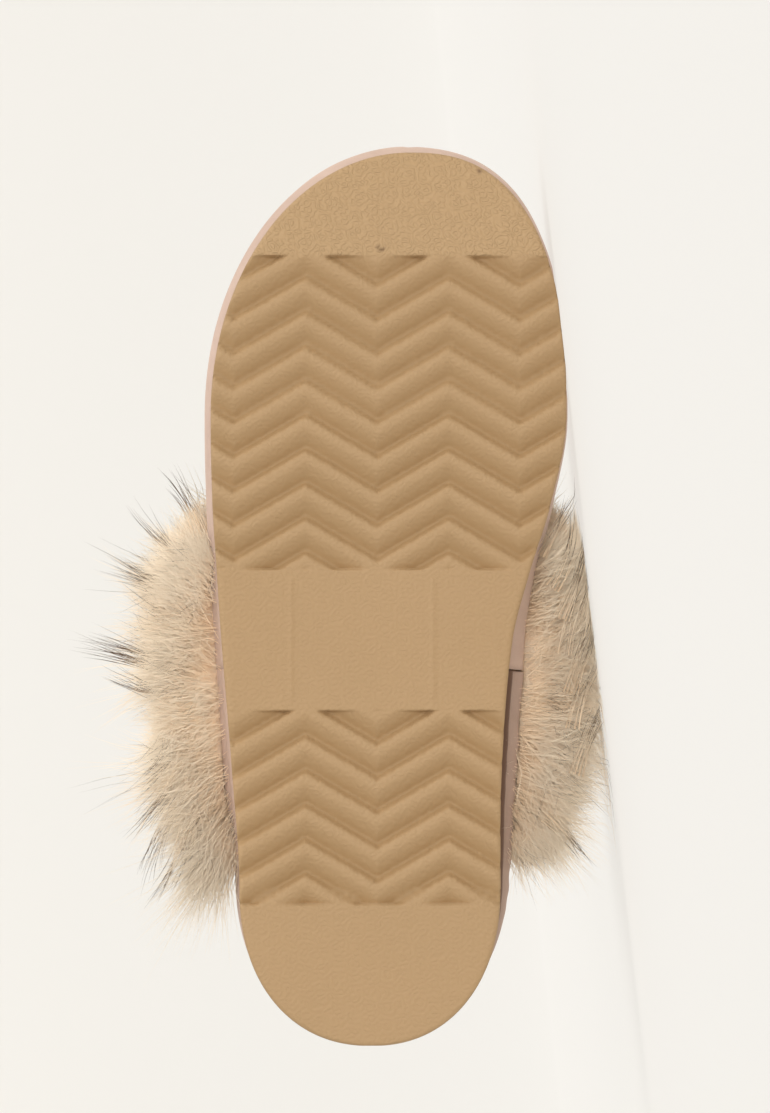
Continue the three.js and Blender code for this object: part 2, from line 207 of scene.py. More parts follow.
@dataclass(frozen=True)
class SoleOutline:
    """The tread's outline: half widths along the foot, a round heel, and a round toe toward the big toe.

    The overhang is how far the suede stands out past it, read at its own stations.
    """

    length: float = 250.0
    heel_length: float = 44.0
    heel_fullness: float = 2.2
    toe_length: float = 74.0
    toe_apex: float = 11.0
    toe_fullness_lateral: float = 2.0
    toe_fullness_medial: float = 2.5
    stations: tuple[float, ...] = (44, 76, 113, 132, 151, 176)
    lateral: tuple[float, ...] = (37, 39, 42, 43.3, 44.5, 45)
    medial: tuple[float, ...] = (36, 36.3, 39.3, 44.1, 50, 54.5)
    spring_start: float = 205.0
    spring_length: float = 45.0
    spring_rise: float = 5.0
    over_stations: tuple[float, ...] = (0, 17, 46, 75, 105, 135, 165, 225, 250)
    over_lateral: tuple[float, ...] = (0.2, 0.2, 1.1, 2.4, 2.2, 1.8, 1.7, 2.4, 3.2)
    over_medial: tuple[float, ...] = (0.2, 1.0, 3.7, 5.4, 5.2, 2.6, 1.6, 2.2, 3.2)
    heel_share: float = 0.25
    toe_share: float = 0.6
    tangent_step: float = 0.004

    @property
    def toe_start(self) -> float:
        """Where the toe's round begins."""
        return self.length - self.toe_length

    def station(self, run: Array) -> Array:
        """Distance from the heel: one less a cosine along the heel, then straight, then a sine along the toe.

        Args:
            run: From 0 at the heel's end to 1 at the toe's tip.

        Returns:
            Millimetres from the heel's end.
        """
        run = np.asarray(run, float)
        heel = self.heel_length * (1 - np.cos(run / self.heel_share * math.pi / 2))
        share = (run - self.heel_share) / (self.toe_share - self.heel_share)
        middle = self.heel_length + share * (self.toe_start - self.heel_length)
        toe = self.toe_start + self.toe_length * np.sin(
            (run - self.toe_share) / (1 - self.toe_share) * math.pi / 2
        )
        return np.where(run < self.heel_share, heel, np.where(run < self.toe_share, middle, toe))

    def run_of(self, station: Array) -> Array:
        """The run of a station between the two round ends."""
        share = (np.asarray(station, float) - self.heel_length) / (self.toe_start - self.heel_length)
        return self.heel_share + share * (self.toe_share - self.heel_share)

    def edge_y(self, side: Side, station: Array) -> Array:
        """The outline's y: a smooth table between superellipse ends.

        Args:
            side: Which side.
            station: Distance from the heel.

        Returns:
            Signed y, with the medial side plus.
        """
        medial = side is Side.MEDIAL
        full = side.value * read_table(station, self.stations, self.medial if medial else self.lateral)
        fullness = self.toe_fullness_medial if medial else self.toe_fullness_lateral
        into_heel = np.clip(1 - station / self.heel_length, 0, 1)
        heel = full * (1 - into_heel**self.heel_fullness) ** (1 / self.heel_fullness)
        into_toe = np.clip((station - self.toe_start) / self.toe_length, 0, 1)
        toe_part = (1 - into_toe**fullness) ** (1 / fullness)
        toe = self.toe_apex + (full - self.toe_apex) * toe_part
        return np.where(station < self.heel_length, heel, np.where(station > self.toe_start, toe, full))

    def rim(self, side: Side, run: Array) -> Array:
        """x and y of the outline's own points."""
        station = self.station(run)
        return np.stack([station, self.edge_y(side, station)], -1)

    def edge(self, side: Side, run: Array, grow: Array) -> Array:
        """Points of the outline, moved out along its normal.

        Args:
            side: Which side.
            run: Runs from heel to toe.
            grow: Millimetres to move each point out.

        Returns:
            x and y of each point.
        """
        run = np.asarray(run, float)
        after = self.rim(side, np.clip(run + self.tangent_step, 0, 1))
        before = self.rim(side, np.clip(run - self.tangent_step, 0, 1))
        tangent = unit(after - before)
        outward = np.stack([-tangent[..., 1], tangent[..., 0]], -1) * side.value
        outward = np.where((run <= 0)[..., None], np.array([-1.0, 0.0]), outward)
        outward = np.where((run >= 1)[..., None], np.array([1.0, 0.0]), outward)
        return self.rim(side, run) + outward * np.asarray(grow, float)[..., None]

    def toe_spring(self, x: Array) -> Array:
        """How far the whole shoe lifts at x: a square law from where the spring starts."""
        return self.spring_rise * np.maximum(0, (x - self.spring_start) / self.spring_length) ** 2

    def overhang(self, side: Side, run: Array) -> Array:
        """How far the suede stands out past the outsole."""
        values = self.over_medial if side is Side.MEDIAL else self.over_lateral
        return read_table(self.station(run), self.over_stations, values)


def steady(rng: np.random.Generator, spread: float, shape: tuple[int, ...]) -> Array:
    """Random numbers round nought that never stray past one and a half times their spread.

    Args:
        rng: Seeded numbers.
        spread: Their usual size.
        shape: The array's shape.

    Returns:
        The numbers.
    """
    return np.clip(rng.normal(0, spread, shape), -1.5 * spread, 1.5 * spread)


def grid_faces(rows: int, columns: int) -> Array:
    """Four-cornered faces of a grid of points, turning from columns to rows.

    Args:
        rows: Rows of points.
        columns: Points in a row.

    Returns:
        Corner numbers, four to a face.
    """
    start = np.arange(rows - 1)[:, None] * columns + np.arange(columns - 1)[None, :]
    start = start.ravel()
    return np.stack([start, start + 1, start + columns + 1, start + columns], -1)


def tube_faces(rings: int, count: int) -> Array:
    """Faces between closed rings that lie one after the other, turning from ring to ring.

    Args:
        rings: How many rings.
        count: Points in each ring.

    Returns:
        Corner numbers, four to a face.
    """
    here = np.arange(count)
    after = (here + 1) % count
    start = np.arange(rings - 1)[:, None] * count
    low = (start + here).ravel()
    low_after = (start + after).ravel()
    return np.stack([low, low_after, low_after + count, low + count], -1)


def make_object(name: str, points: Array, faces: list[Array], weld: bool = False) -> bpy.types.Object:
    """Puts whole arrays of points and faces into a new smooth mesh object.

    Args:
        name: The piece's name.
        points: Places in the part's metres.
        faces: Arrays of corner numbers, each with one number of corners.
        weld: True merges points that coincide and drops the faces that this closes up.

    Returns:
        The object, at the origin.
    """
    mesh = bpy.data.meshes.new(name)
    mesh.vertices.add(len(points))
    mesh.vertices.foreach_set("co", np.ascontiguousarray(points, np.float32).ravel())
    corners = np.concatenate([f.ravel() for f in faces]).astype(np.int32)
    totals = np.concatenate([np.full(len(f), f.shape[1]) for f in faces])
    starts = np.concatenate([[0], np.cumsum(totals)[:-1]]).astype(np.int32)
    mesh.loops.add(len(corners))
    mesh.loops.foreach_set("vertex_index", corners)
    mesh.polygons.add(len(totals))
    mesh.polygons.foreach_set("loop_start", starts)
    mesh.polygons.foreach_set("use_smooth", np.ones(len(totals), bool))
    mesh.update(calc_edges=True)
    if weld:
        work = bmesh.new()
        work.from_mesh(mesh)
        bmesh.ops.remove_doubles(work, verts=work.verts, dist=WELD_DISTANCE)
        bmesh.ops.dissolve_degenerate(work, dist=FLAT_FACE, edges=work.edges)
        work.to_mesh(mesh)
        work.free()
    piece = bpy.data.objects.new(name, mesh)
    bpy.context.scene.collection.objects.link(piece)
    return piece


def set_attribute(piece: bpy.types.Object, name: str, values: Array) -> None:
    """Stores one number for each point of a piece's mesh."""
    layer = piece.data.attributes.new(name, "FLOAT", "POINT")
    layer.data.foreach_set("value", np.ascontiguousarray(values, np.float32).ravel())


def enlist(piece: bpy.types.Object, material: bpy.types.Material, slot: Slot, *nodes: str) -> None:
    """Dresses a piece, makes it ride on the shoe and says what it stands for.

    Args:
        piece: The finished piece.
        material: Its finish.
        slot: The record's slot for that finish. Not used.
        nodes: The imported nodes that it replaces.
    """
    piece.data.materials.append(material)
    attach(piece, BODY)
    if nodes:
        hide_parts(*nodes)
    piece.data.calc_loop_triangles()
    LOG.info("%s: %d triangles", piece.name, len(piece.data.loop_triangles))


def linear(hex_colour: str) -> tuple[float, float, float, float]:
    """Turns an sRGB colour to linear light.

    Args:
        hex_colour: A hash and six hex digits.

    Returns:
        Red, green, blue and full alpha.
    """
    parts = [int(hex_colour[i : i + 2], 16) / 255 for i in (1, 3, 5)]
    red, green, blue = (c / 12.92 if c <= 0.04045 else ((c + 0.055) / 1.055) ** 2.4 for c in parts)
    return red, green, blue, 1.0


def per_metre(size_mm: float) -> float:
    """Texture scale whose pattern repeats about once in a given number of millimetres."""
    return 1 / (size_mm * MM)


def add_node(
    tree: bpy.types.NodeTree, kind: str, settings: dict | None = None, inputs: dict | None = None
) -> bpy.types.Node:
    """Adds one shader node.

    Args:
        tree: The material's node tree.
        kind: The node's type name.
        settings: Properties to set on it.
        inputs: Values, or sockets to link, by the input's name or number.

    Returns:
        The node.
    """
    node = tree.nodes.new(kind)
    for key, value in (settings or {}).items():
        setattr(node, key, value)
    for key, value in (inputs or {}).items():
        if isinstance(value, bpy.types.NodeSocket):
            tree.links.new(value, node.inputs[key])
        else:
            node.inputs[key].default_value = value
    return node


def new_material(name: str) -> tuple[bpy.types.Material, bpy.types.NodeTree]:
    """Starts a material with no nodes.

    Args:
        name: The real material's name.

    Returns:
        The material and its node tree.
    """
    material = bpy.data.materials.new(name)
    material.use_nodes = True
    material.node_tree.nodes.clear()
    return material, material.node_tree


@dataclass(frozen=True)
class MouldedRubber:
    """Foamed rubber poured in a textured mould: matt, with a worm-like grain on its flat ends."""

    tan: str = "#ab8c65"
    warm: str = "#b1916a"
    # The groove colour is painted shade, mixed into the groove beds by their depth.
    painted_groove_shade: str = "#9f8054"
    rubbed: str = "#bd9d74"
    roughness: float = 0.62
    mark: str = "#6a5036"
    bed_shade_share: float = 0.36
    rubbed_share: float = 0.4
    worm_mm: float = 1.45
    worm_depth_mm: float = 0.27
    worm_waves: int = 7
    warp_mm: float = 3.4
    # The foam's pits are about 0.2 mm across, too fine to show, so they are drawn this coarse.
    pit_mm: float = 0.9
    pit_depth_mm: float = 0.12
    cloud_mm: float = 34.0

    def build(self) -> bpy.types.Material:
        """Colour clouds, painted shade that darkens the groove beds by the depth attribute, and grain by the
        grain attribute.

        Returns:
            The material.
        """
        material, tree = new_material("moulded_tan_rubber")
        place = add_node(tree, "ShaderNodeTexCoord").outputs["Object"]
        depth = add_node(tree, "ShaderNodeAttribute", {"attribute_name": "depth"}).outputs["Fac"]
        grain = add_node(tree, "ShaderNodeAttribute", {"attribute_name": "grain"}).outputs["Fac"]
        cloud = add_node(
            tree,
            "ShaderNodeTexNoise",
            None,
            {"Vector": place, "Scale": per_metre(self.cloud_mm), "Detail": 3.0},
        )
        base = add_node(
            tree,
            "ShaderNodeMix",
            {"data_type": "RGBA"},
            {0: cloud.outputs["Fac"], 6: linear(self.tan), 7: linear(self.warm)},
        )
        # Painted shade: the groove beds are darkened in colour by the cut's depth, in place of the shadow in
        # the grooves.
        bed_shade = add_node(tree, "ShaderNodeMath", {"operation": "MULTIPLY"}, {0: depth, 1: self.bed_shade_share})
        colour = add_node(
            tree,
            "ShaderNodeMix",
            {"data_type": "RGBA"},
            {0: bed_shade.outputs[0], 6: base.outputs[2], 7: linear(self.painted_groove_shade)},
        )
        rubbed = add_node(
            tree,
            "ShaderNodeMapRange",
            None,
            {"Value": grain, "From Min": 0.35, "From Max": 1.0, "To Max": self.rubbed_share},
        )
        paled = add_node(
            tree,
            "ShaderNodeMix",
            {"data_type": "RGBA"},
            {0: rubbed.outputs[0], 6: colour.outputs[2], 7: linear(self.rubbed)},
        )
        worn = add_node(tree, "ShaderNodeAttribute", {"attribute_name": "mark"}).outputs["Fac"]
        marked = add_node(
            tree,
            "ShaderNodeMix",
            {"data_type": "RGBA"},
            {0: worn, 6: paled.outputs[2], 7: linear(self.mark)},
        )
        warp = add_node(
            tree,
            "ShaderNodeTexNoise",
            None,
            {"Vector": place, "Scale": per_metre(self.warp_mm), "Detail": 1.0},
        )
        shift = add_node(
            tree,
            "ShaderNodeVectorMath",
            {"operation": "MULTIPLY_ADD"},
            {0: warp.outputs["Color"], 1: (self.warp_mm * MM * 0.7,) * 3, 2: place},
        )
        # Waves of one length in many directions over the sole add up to a maze of short worms.
        total = None
        for turn in range(self.worm_waves):
            angle = math.pi * (turn + 0.3 * math.sin(turn * 2.4)) / self.worm_waves
            pitch = 2 * math.pi / (self.worm_mm * MM)
            across = add_node(
                tree,
                "ShaderNodeVectorMath",
                {"operation": "DOT_PRODUCT"},
                {0: shift.outputs[0], 1: (pitch * math.cos(angle), 0.0, pitch * math.sin(angle))},
            )
            wave = add_node(tree, "ShaderNodeMath", {"operation": "SINE"}, {0: across.outputs["Value"]})
            if total is None:
                total = wave
            else:
                total = add_node(
                    tree, "ShaderNodeMath", {"operation": "ADD"}, {0: total.outputs[0], 1: wave.outputs[0]}
                )
        firm = add_node(
            tree,
            "ShaderNodeMapRange",
            {"interpolation_type": "SMOOTHSTEP"},
            {"Value": total.outputs[0], "From Min": -2.2, "From Max": 2.2},
        )
        worm_height = add_node(
            tree, "ShaderNodeMath", {"operation": "MULTIPLY"}, {0: firm.outputs[0], 1: grain}
        )
        pits = add_node(
            tree,
            "ShaderNodeTexNoise",
            None,
            {"Vector": place, "Scale": per_metre(self.pit_mm), "Detail": 2.0},
        )
        pit_bump = add_node(
            tree,
            "ShaderNodeBump",
            None,
            {"Strength": 0.25, "Distance": self.pit_depth_mm * MM, "Height": pits.outputs["Fac"]},
        )
        bump = add_node(
            tree,
            "ShaderNodeBump",
            None,
            {
                "Strength": 0.85,
                "Distance": self.worm_depth_mm * MM,
                "Height": worm_height.outputs[0],
                "Normal": pit_bump.outputs[0],
            },
        )
        shader = add_node(
            tree,
            "ShaderNodeBsdfPrincipled",
            None,
            {
                "Base Color": marked.outputs[2],
                "Roughness": self.roughness,
                "Specular IOR Level": 0.35,
                "Normal": bump.outputs[0],
            },
        )
        add_node(tree, "ShaderNodeOutputMaterial", None, {"Surface": shader.outputs[0]})
        return material


@dataclass(frozen=True)
class BrushedSuede:
    """Split leather with a raised nap: no gloss, a pale sheen at grazing angles and cloudy brushing."""

    nap: str = "#d0b6a6"
    rubbed: str = "#c4a999"
    sheen: str = "#ecd9cc"
    # Dark brown painted shade, for the platform's wall where it lies in shadow under the roll.
    painted_shade_colour: str = "#6e5547"
    cloud_mm: float = 13.0
    # The nap's fibres are under 0.1 mm, too fine to show, so they are drawn this coarse.
    fibre_mm: float = 0.7

    def build(self) -> bpy.types.Material:
        """Two tones in brushed clouds, painted shade of dark brown by a point attribute, a fine fibre bump
        and a soft sheen.

        Returns:
            The material.
        """
        material, tree = new_material("brushed_suede")
        place = add_node(tree, "ShaderNodeTexCoord").outputs["Object"]
        cloud = add_node(
            tree,
            "ShaderNodeTexNoise",
            None,
            {"Vector": place, "Scale": per_metre(self.cloud_mm), "Detail": 5.0, "Roughness": 0.65},
        )
        spread = add_node(
            tree,
            "ShaderNodeMapRange",
            None,
            {"Value": cloud.outputs["Fac"], "From Min": 0.3, "From Max": 0.7},
        )
        colour = add_node(
            tree,
            "ShaderNodeMix",
            {"data_type": "RGBA"},
            {0: spread.outputs[0], 6: linear(self.rubbed), 7: linear(self.nap)},
        )
        # Painted shade: dark brown mixed in by the platform's point attribute where its wall lies in shadow.
        painted_shade = add_node(tree, "ShaderNodeAttribute", {"attribute_name": "painted_shade"}).outputs["Fac"]
        with_painted_shade = add_node(
            tree,
            "ShaderNodeMix",
            {"data_type": "RGBA"},
            {0: painted_shade, 6: colour.outputs[2], 7: linear(self.painted_shade_colour)},
        )
        fibre = add_node(
            tree,
            "ShaderNodeTexNoise",
            None,
            {"Vector": place, "Scale": per_metre(self.fibre_mm), "Detail": 3.0},
        )
        bump = add_node(
            tree,
            "ShaderNodeBump",
            None,
            {"Strength": 0.5, "Distance": 0.2 * MM, "Height": fibre.outputs["Fac"]},
        )
        shader = add_node(
            tree,
            "ShaderNodeBsdfPrincipled",
            None,
            {
                "Base Color": with_painted_shade.outputs[2],
                "Roughness": 0.95,
                "Specular IOR Level": 0.15,
                "Sheen Weight": 0.35,
                "Sheen Roughness": 0.5,
                "Sheen Tint": linear(self.sheen),
                "Normal": bump.outputs[0],
            },
        )
        add_node(tree, "ShaderNodeOutputMaterial", None, {"Surface": shader.outputs[0]})
        return material


@dataclass(frozen=True)
class PlushPile:
    """Short knitted pile: cream, soft and without gloss."""

    cream: str = "#e9dcc8"
    shade: str = "#dac9b0"
    tuft_mm: float = 3.0

    def build(self) -> bpy.types.Material:
        """Tufted noise in two tones, with the same noise as bump.

        Returns:
            The material.
        """
        material, tree = new_material("cream_plush_pile")
        place = add_node(tree, "ShaderNodeTexCoord").outputs["Object"]
        tuft = add_node(
            tree,
            "ShaderNodeTexNoise",
            None,
            {"Vector": place, "Scale": per_metre(self.tuft_mm), "Detail": 6.0, "Roughness": 0.7},
        )
        spread = add_node(
            tree,
            "ShaderNodeMapRange",
            None,
            {"Value": tuft.outputs["Fac"], "From Min": 0.32, "From Max": 0.62},
        )
        colour = add_node(
            tree,
            "ShaderNodeMix",
            {"data_type": "RGBA"},
            {0: spread.outputs[0], 6: linear(self.shade), 7: linear(self.cream)},
        )
        bump = add_node(
            tree,
            "ShaderNodeBump",
            None,
            {"Strength": 0.8, "Distance": 0.8 * MM, "Height": tuft.outputs["Fac"]},
        )
        shader = add_node(
            tree,
            "ShaderNodeBsdfPrincipled",
            None,
            {
                "Base Color": colour.outputs[2],
                "Roughness": 1.0,
                "Specular IOR Level": 0.1,
                "Sheen Weight": 0.5,
                "Sheen Roughness": 0.6,
                "Normal": bump.outputs[0],
            },
        )
        add_node(tree, "ShaderNodeOutputMaterial", None, {"Surface": shader.outputs[0]})
        return material


@dataclass(frozen=True)
class FurFibre:
    """Fine acrylic fibre: cream from root to tip, with dark brown ends on the long hairs."""

    root: str = "#fcdebc"
    cream: str = "#ffedd3"
    ochre: str = "#d9ae7c"
    brown: str = "#8c6c4e"
    dark: str = "#3a2312"
    ochre_share: float = 0.4

    def build(self) -> bpy.types.Material:
        """Colour by the place along each hair, its own tint, and how dark its tip is.

        Returns:
            The material.
        """
        material, tree = new_material("fur_fibre")
        along = add_node(tree, "ShaderNodeAttribute", {"attribute_name": "along"}).outputs["Fac"]
        tip = add_node(tree, "ShaderNodeAttribute", {"attribute_name": "tip"}).outputs["Fac"]
        tint = add_node(tree, "ShaderNodeAttribute", {"attribute_name": "tint"}).outputs["Fac"]
        rise = add_node(
            tree,
            "ShaderNodeMapRange",
            None,
            {"Value": along, "From Min": 0.0, "From Max": 0.55},
        )
        pale = add_node(
            tree,
            "ShaderNodeMix",
            {"data_type": "RGBA"},
            {0: rise.outputs[0], 6: linear(self.root), 7: linear(self.cream)},
        )
        warm = add_node(
            tree,
            "ShaderNodeMapRange",
            None,
            {"Value": tint, "From Min": 0.5, "From Max": 0.95, "To Max": self.ochre_share},
        )
        body = add_node(
            tree,
            "ShaderNodeMix",
            {"data_type": "RGBA"},
            {0: warm.outputs[0], 6: pale.outputs[2], 7: linear(self.ochre)},
        )
        near_tip = add_node(
            tree,
            "ShaderNodeMapRange",
            None,
            {"Value": along, "From Min": 0.36, "From Max": 0.6},
        )
        brown_share = add_node(
            tree,
            "ShaderNodeMath",
            {"operation": "MULTIPLY"},
            {0: near_tip.outputs[0], 1: tip},
        )
        browned = add_node(
            tree,
            "ShaderNodeMix",
            {"data_type": "RGBA"},
            {0: brown_share.outputs[0], 6: body.outputs[2], 7: linear(self.brown)},
        )
        at_tip = add_node(
            tree,
            "ShaderNodeMapRange",
            None,
            {"Value": along, "From Min": 0.48, "From Max": 0.76},
        )
        dark_share = add_node(
            tree, "ShaderNodeMath", {"operation": "MULTIPLY"}, {0: at_tip.outputs[0], 1: tip}
        )
        colour = add_node(
            tree,
            "ShaderNodeMix",
            {"data_type": "RGBA"},
            {0: dark_share.outputs[0], 6: browned.outputs[2], 7: linear(self.dark)},
        )
        shader = add_node(
            tree,
            "ShaderNodeBsdfPrincipled",
            None,
            {
                "Base Color": colour.outputs[2],
                "Roughness": 0.6,
                "Specular IOR Level": 0.08,
            },
        )
        add_node(tree, "ShaderNodeOutputMaterial", None, {"Surface": shader.outputs[0]})
        return material


@dataclass(frozen=True)
class FurUndercoat:
    """Dense down under the long hair: a soft cream cloud with no gloss and no single hairs to be seen."""

    cream: str = "#ffebd0"
    shade: str = "#fadab5"
    clump_mm: float = 7.0
    # Down is far finer, so its fibres are drawn this coarse to show.
    fibre_mm: float = 1.1

    def build(self) -> bpy.types.Material:
        """Two tones in clumps, a fine fibre bump and a broad sheen.

        Returns:
            The material.
        """
        material, tree = new_material("fur_undercoat")
        place = add_node(tree, "ShaderNodeTexCoord").outputs["Object"]
        clump = add_node(
            tree,
            "ShaderNodeTexNoise",
            None,
            {"Vector": place, "Scale": per_metre(self.clump_mm), "Detail": 4.0, "Roughness": 0.6},
        )
        spread = add_node(
            tree,
            "ShaderNodeMapRange",
            None,
            {"Value": clump.outputs["Fac"], "From Min": 0.35, "From Max": 0.65},
        )
        colour = add_node(
            tree,
            "ShaderNodeMix",
            {"data_type": "RGBA"},
            {0: spread.outputs[0], 6: linear(self.shade), 7: linear(self.cream)},
        )
        fibre = add_node(
            tree,
            "ShaderNodeTexNoise",
            None,
            {"Vector": place, "Scale": per_metre(self.fibre_mm), "Detail": 3.0, "Distortion": 1.5},
        )
        bump = add_node(
            tree,
            "ShaderNodeBump",
            None,
            {"Strength": 0.5, "Distance": 0.5 * MM, "Height": fibre.outputs["Fac"]},
        )
        shader = add_node(
            tree,
            "ShaderNodeBsdfPrincipled",
            None,
            {
                "Base Color": colour.outputs[2],
                "Roughness": 1.0,
                "Specular IOR Level": 0.05,
                "Sheen Weight": 0.5,
                "Sheen Roughness": 0.6,
                "Normal": bump.outputs[0],
            },
        )
        add_node(tree, "ShaderNodeOutputMaterial", None, {"Surface": shader.outputs[0]})
        return material


@dataclass(frozen=True)
class PalePaper:
    """Matt warm-white studio paper that glows with its own light: its tone and its glow are set along the
    sweep.
    """

    tint: str = "#fffcf6"

    def build(self) -> bpy.types.Material:
        """The tint in the tone attribute's strength, and a glow in the glow attribute's.

        Returns:
            The material.
        """
        material, tree = new_material("pale_studio_paper")
        tone = add_node(tree, "ShaderNodeAttribute", {"attribute_name": "tone"}).outputs["Fac"]
        glow = add_node(tree, "ShaderNodeAttribute", {"attribute_name": "glow"}).outputs["Fac"]
        colour = add_node(
            tree,
            "ShaderNodeMix",
            {"data_type": "RGBA"},
            {0: tone, 6: (0.0, 0.0, 0.0, 1.0), 7: linear(self.tint)},
        )
        shader = add_node(
            tree,
            "ShaderNodeBsdfPrincipled",
            None,
            {
                "Base Color": colour.outputs[2],
                "Roughness": 0.95,
                "Specular IOR Level": 0.1,
                "Emission Color": linear(self.tint),
                "Emission Strength": glow,
            },
        )
        add_node(tree, "ShaderNodeOutputMaterial", None, {"Surface": shader.outputs[0]})
        return material


@dataclass
class GridSlab:
    """A slab with one finely gridded face, a wall round it and a plain back.

    The grid runs from heel to toe in rows, and from the lateral to the medial edge in columns.
    """

    x: Array
    y: Array

    def ring(self) -> Array:
        """Walks round the grid's edge: heel row, medial side, toe row back, lateral side back.

        Returns:
            The grid's numbers of those points.
        """
        rows, columns = self.x.shape
        number = np.arange(rows * columns).reshape(rows, columns)
        return np.concatenate([number[0], number[1:, -1], number[-1, -2::-1], number[-2:0:-1, 0]])

    def build(
        self, face_z: Array, wall: list[tuple[float, Array]], faces_up: bool
    ) -> tuple[Array, list[Array]]:
        """Points and faces of the closed slab.

        Args:
            face_z: Height of the gridded face.
            wall: From the gridded face to the back: how far each ring is moved in, and its height.
            faces_up: True when the gridded face is the top.

        Returns:
            Points in shoe millimetres, and faces.
        """
        rows, columns = self.x.shape
        edge = self.ring()
        count = len(edge)
        grid = np.stack([self.x, self.y, face_z], -1).reshape(-1, 3)
        rim = grid[edge]
        tangent = unit(np.roll(rim[:, :2], -1, 0) - np.roll(rim[:, :2], 1, 0))
        inward = np.stack([tangent[:, 1], -tangent[:, 0]], -1)
        rings = [np.column_stack([rim[:, :2] + inward * inset, height]) for inset, height in wall]
        points = np.concatenate([grid, *rings])
        first = rows * columns + np.arange(count)
        after = np.roll(np.arange(count), -1)
        join = np.stack([edge[after], edge, first, first[after]], -1)
        sides = tube_faces(len(rings), count)[:, [1, 0, 3, 2]] + rows * columns
        back = rows * columns + (len(rings) - 1) * count
        row = np.arange(1, rows - 1)
        medial = columns - 1 + row
        lateral = (count - row) % count
        strips = np.stack([lateral[:-1], lateral[1:], medial[1:], medial[:-1]], -1) + back
        heel_end = np.concatenate([[lateral[0]], [medial[0]], np.arange(columns - 1, -1, -1)])[None] + back
        toe_row = np.arange(columns - 1 + rows - 1, count - (rows - 2))
        toe_end = np.concatenate([toe_row[::-1], [medial[-1]], [lateral[-1]]])[None] + back
        faces = [grid_faces(rows, columns), join, sides, strips, heel_end, toe_end]
        if faces_up:
            faces = [f[:, ::-1] for f in faces]
        return points, faces


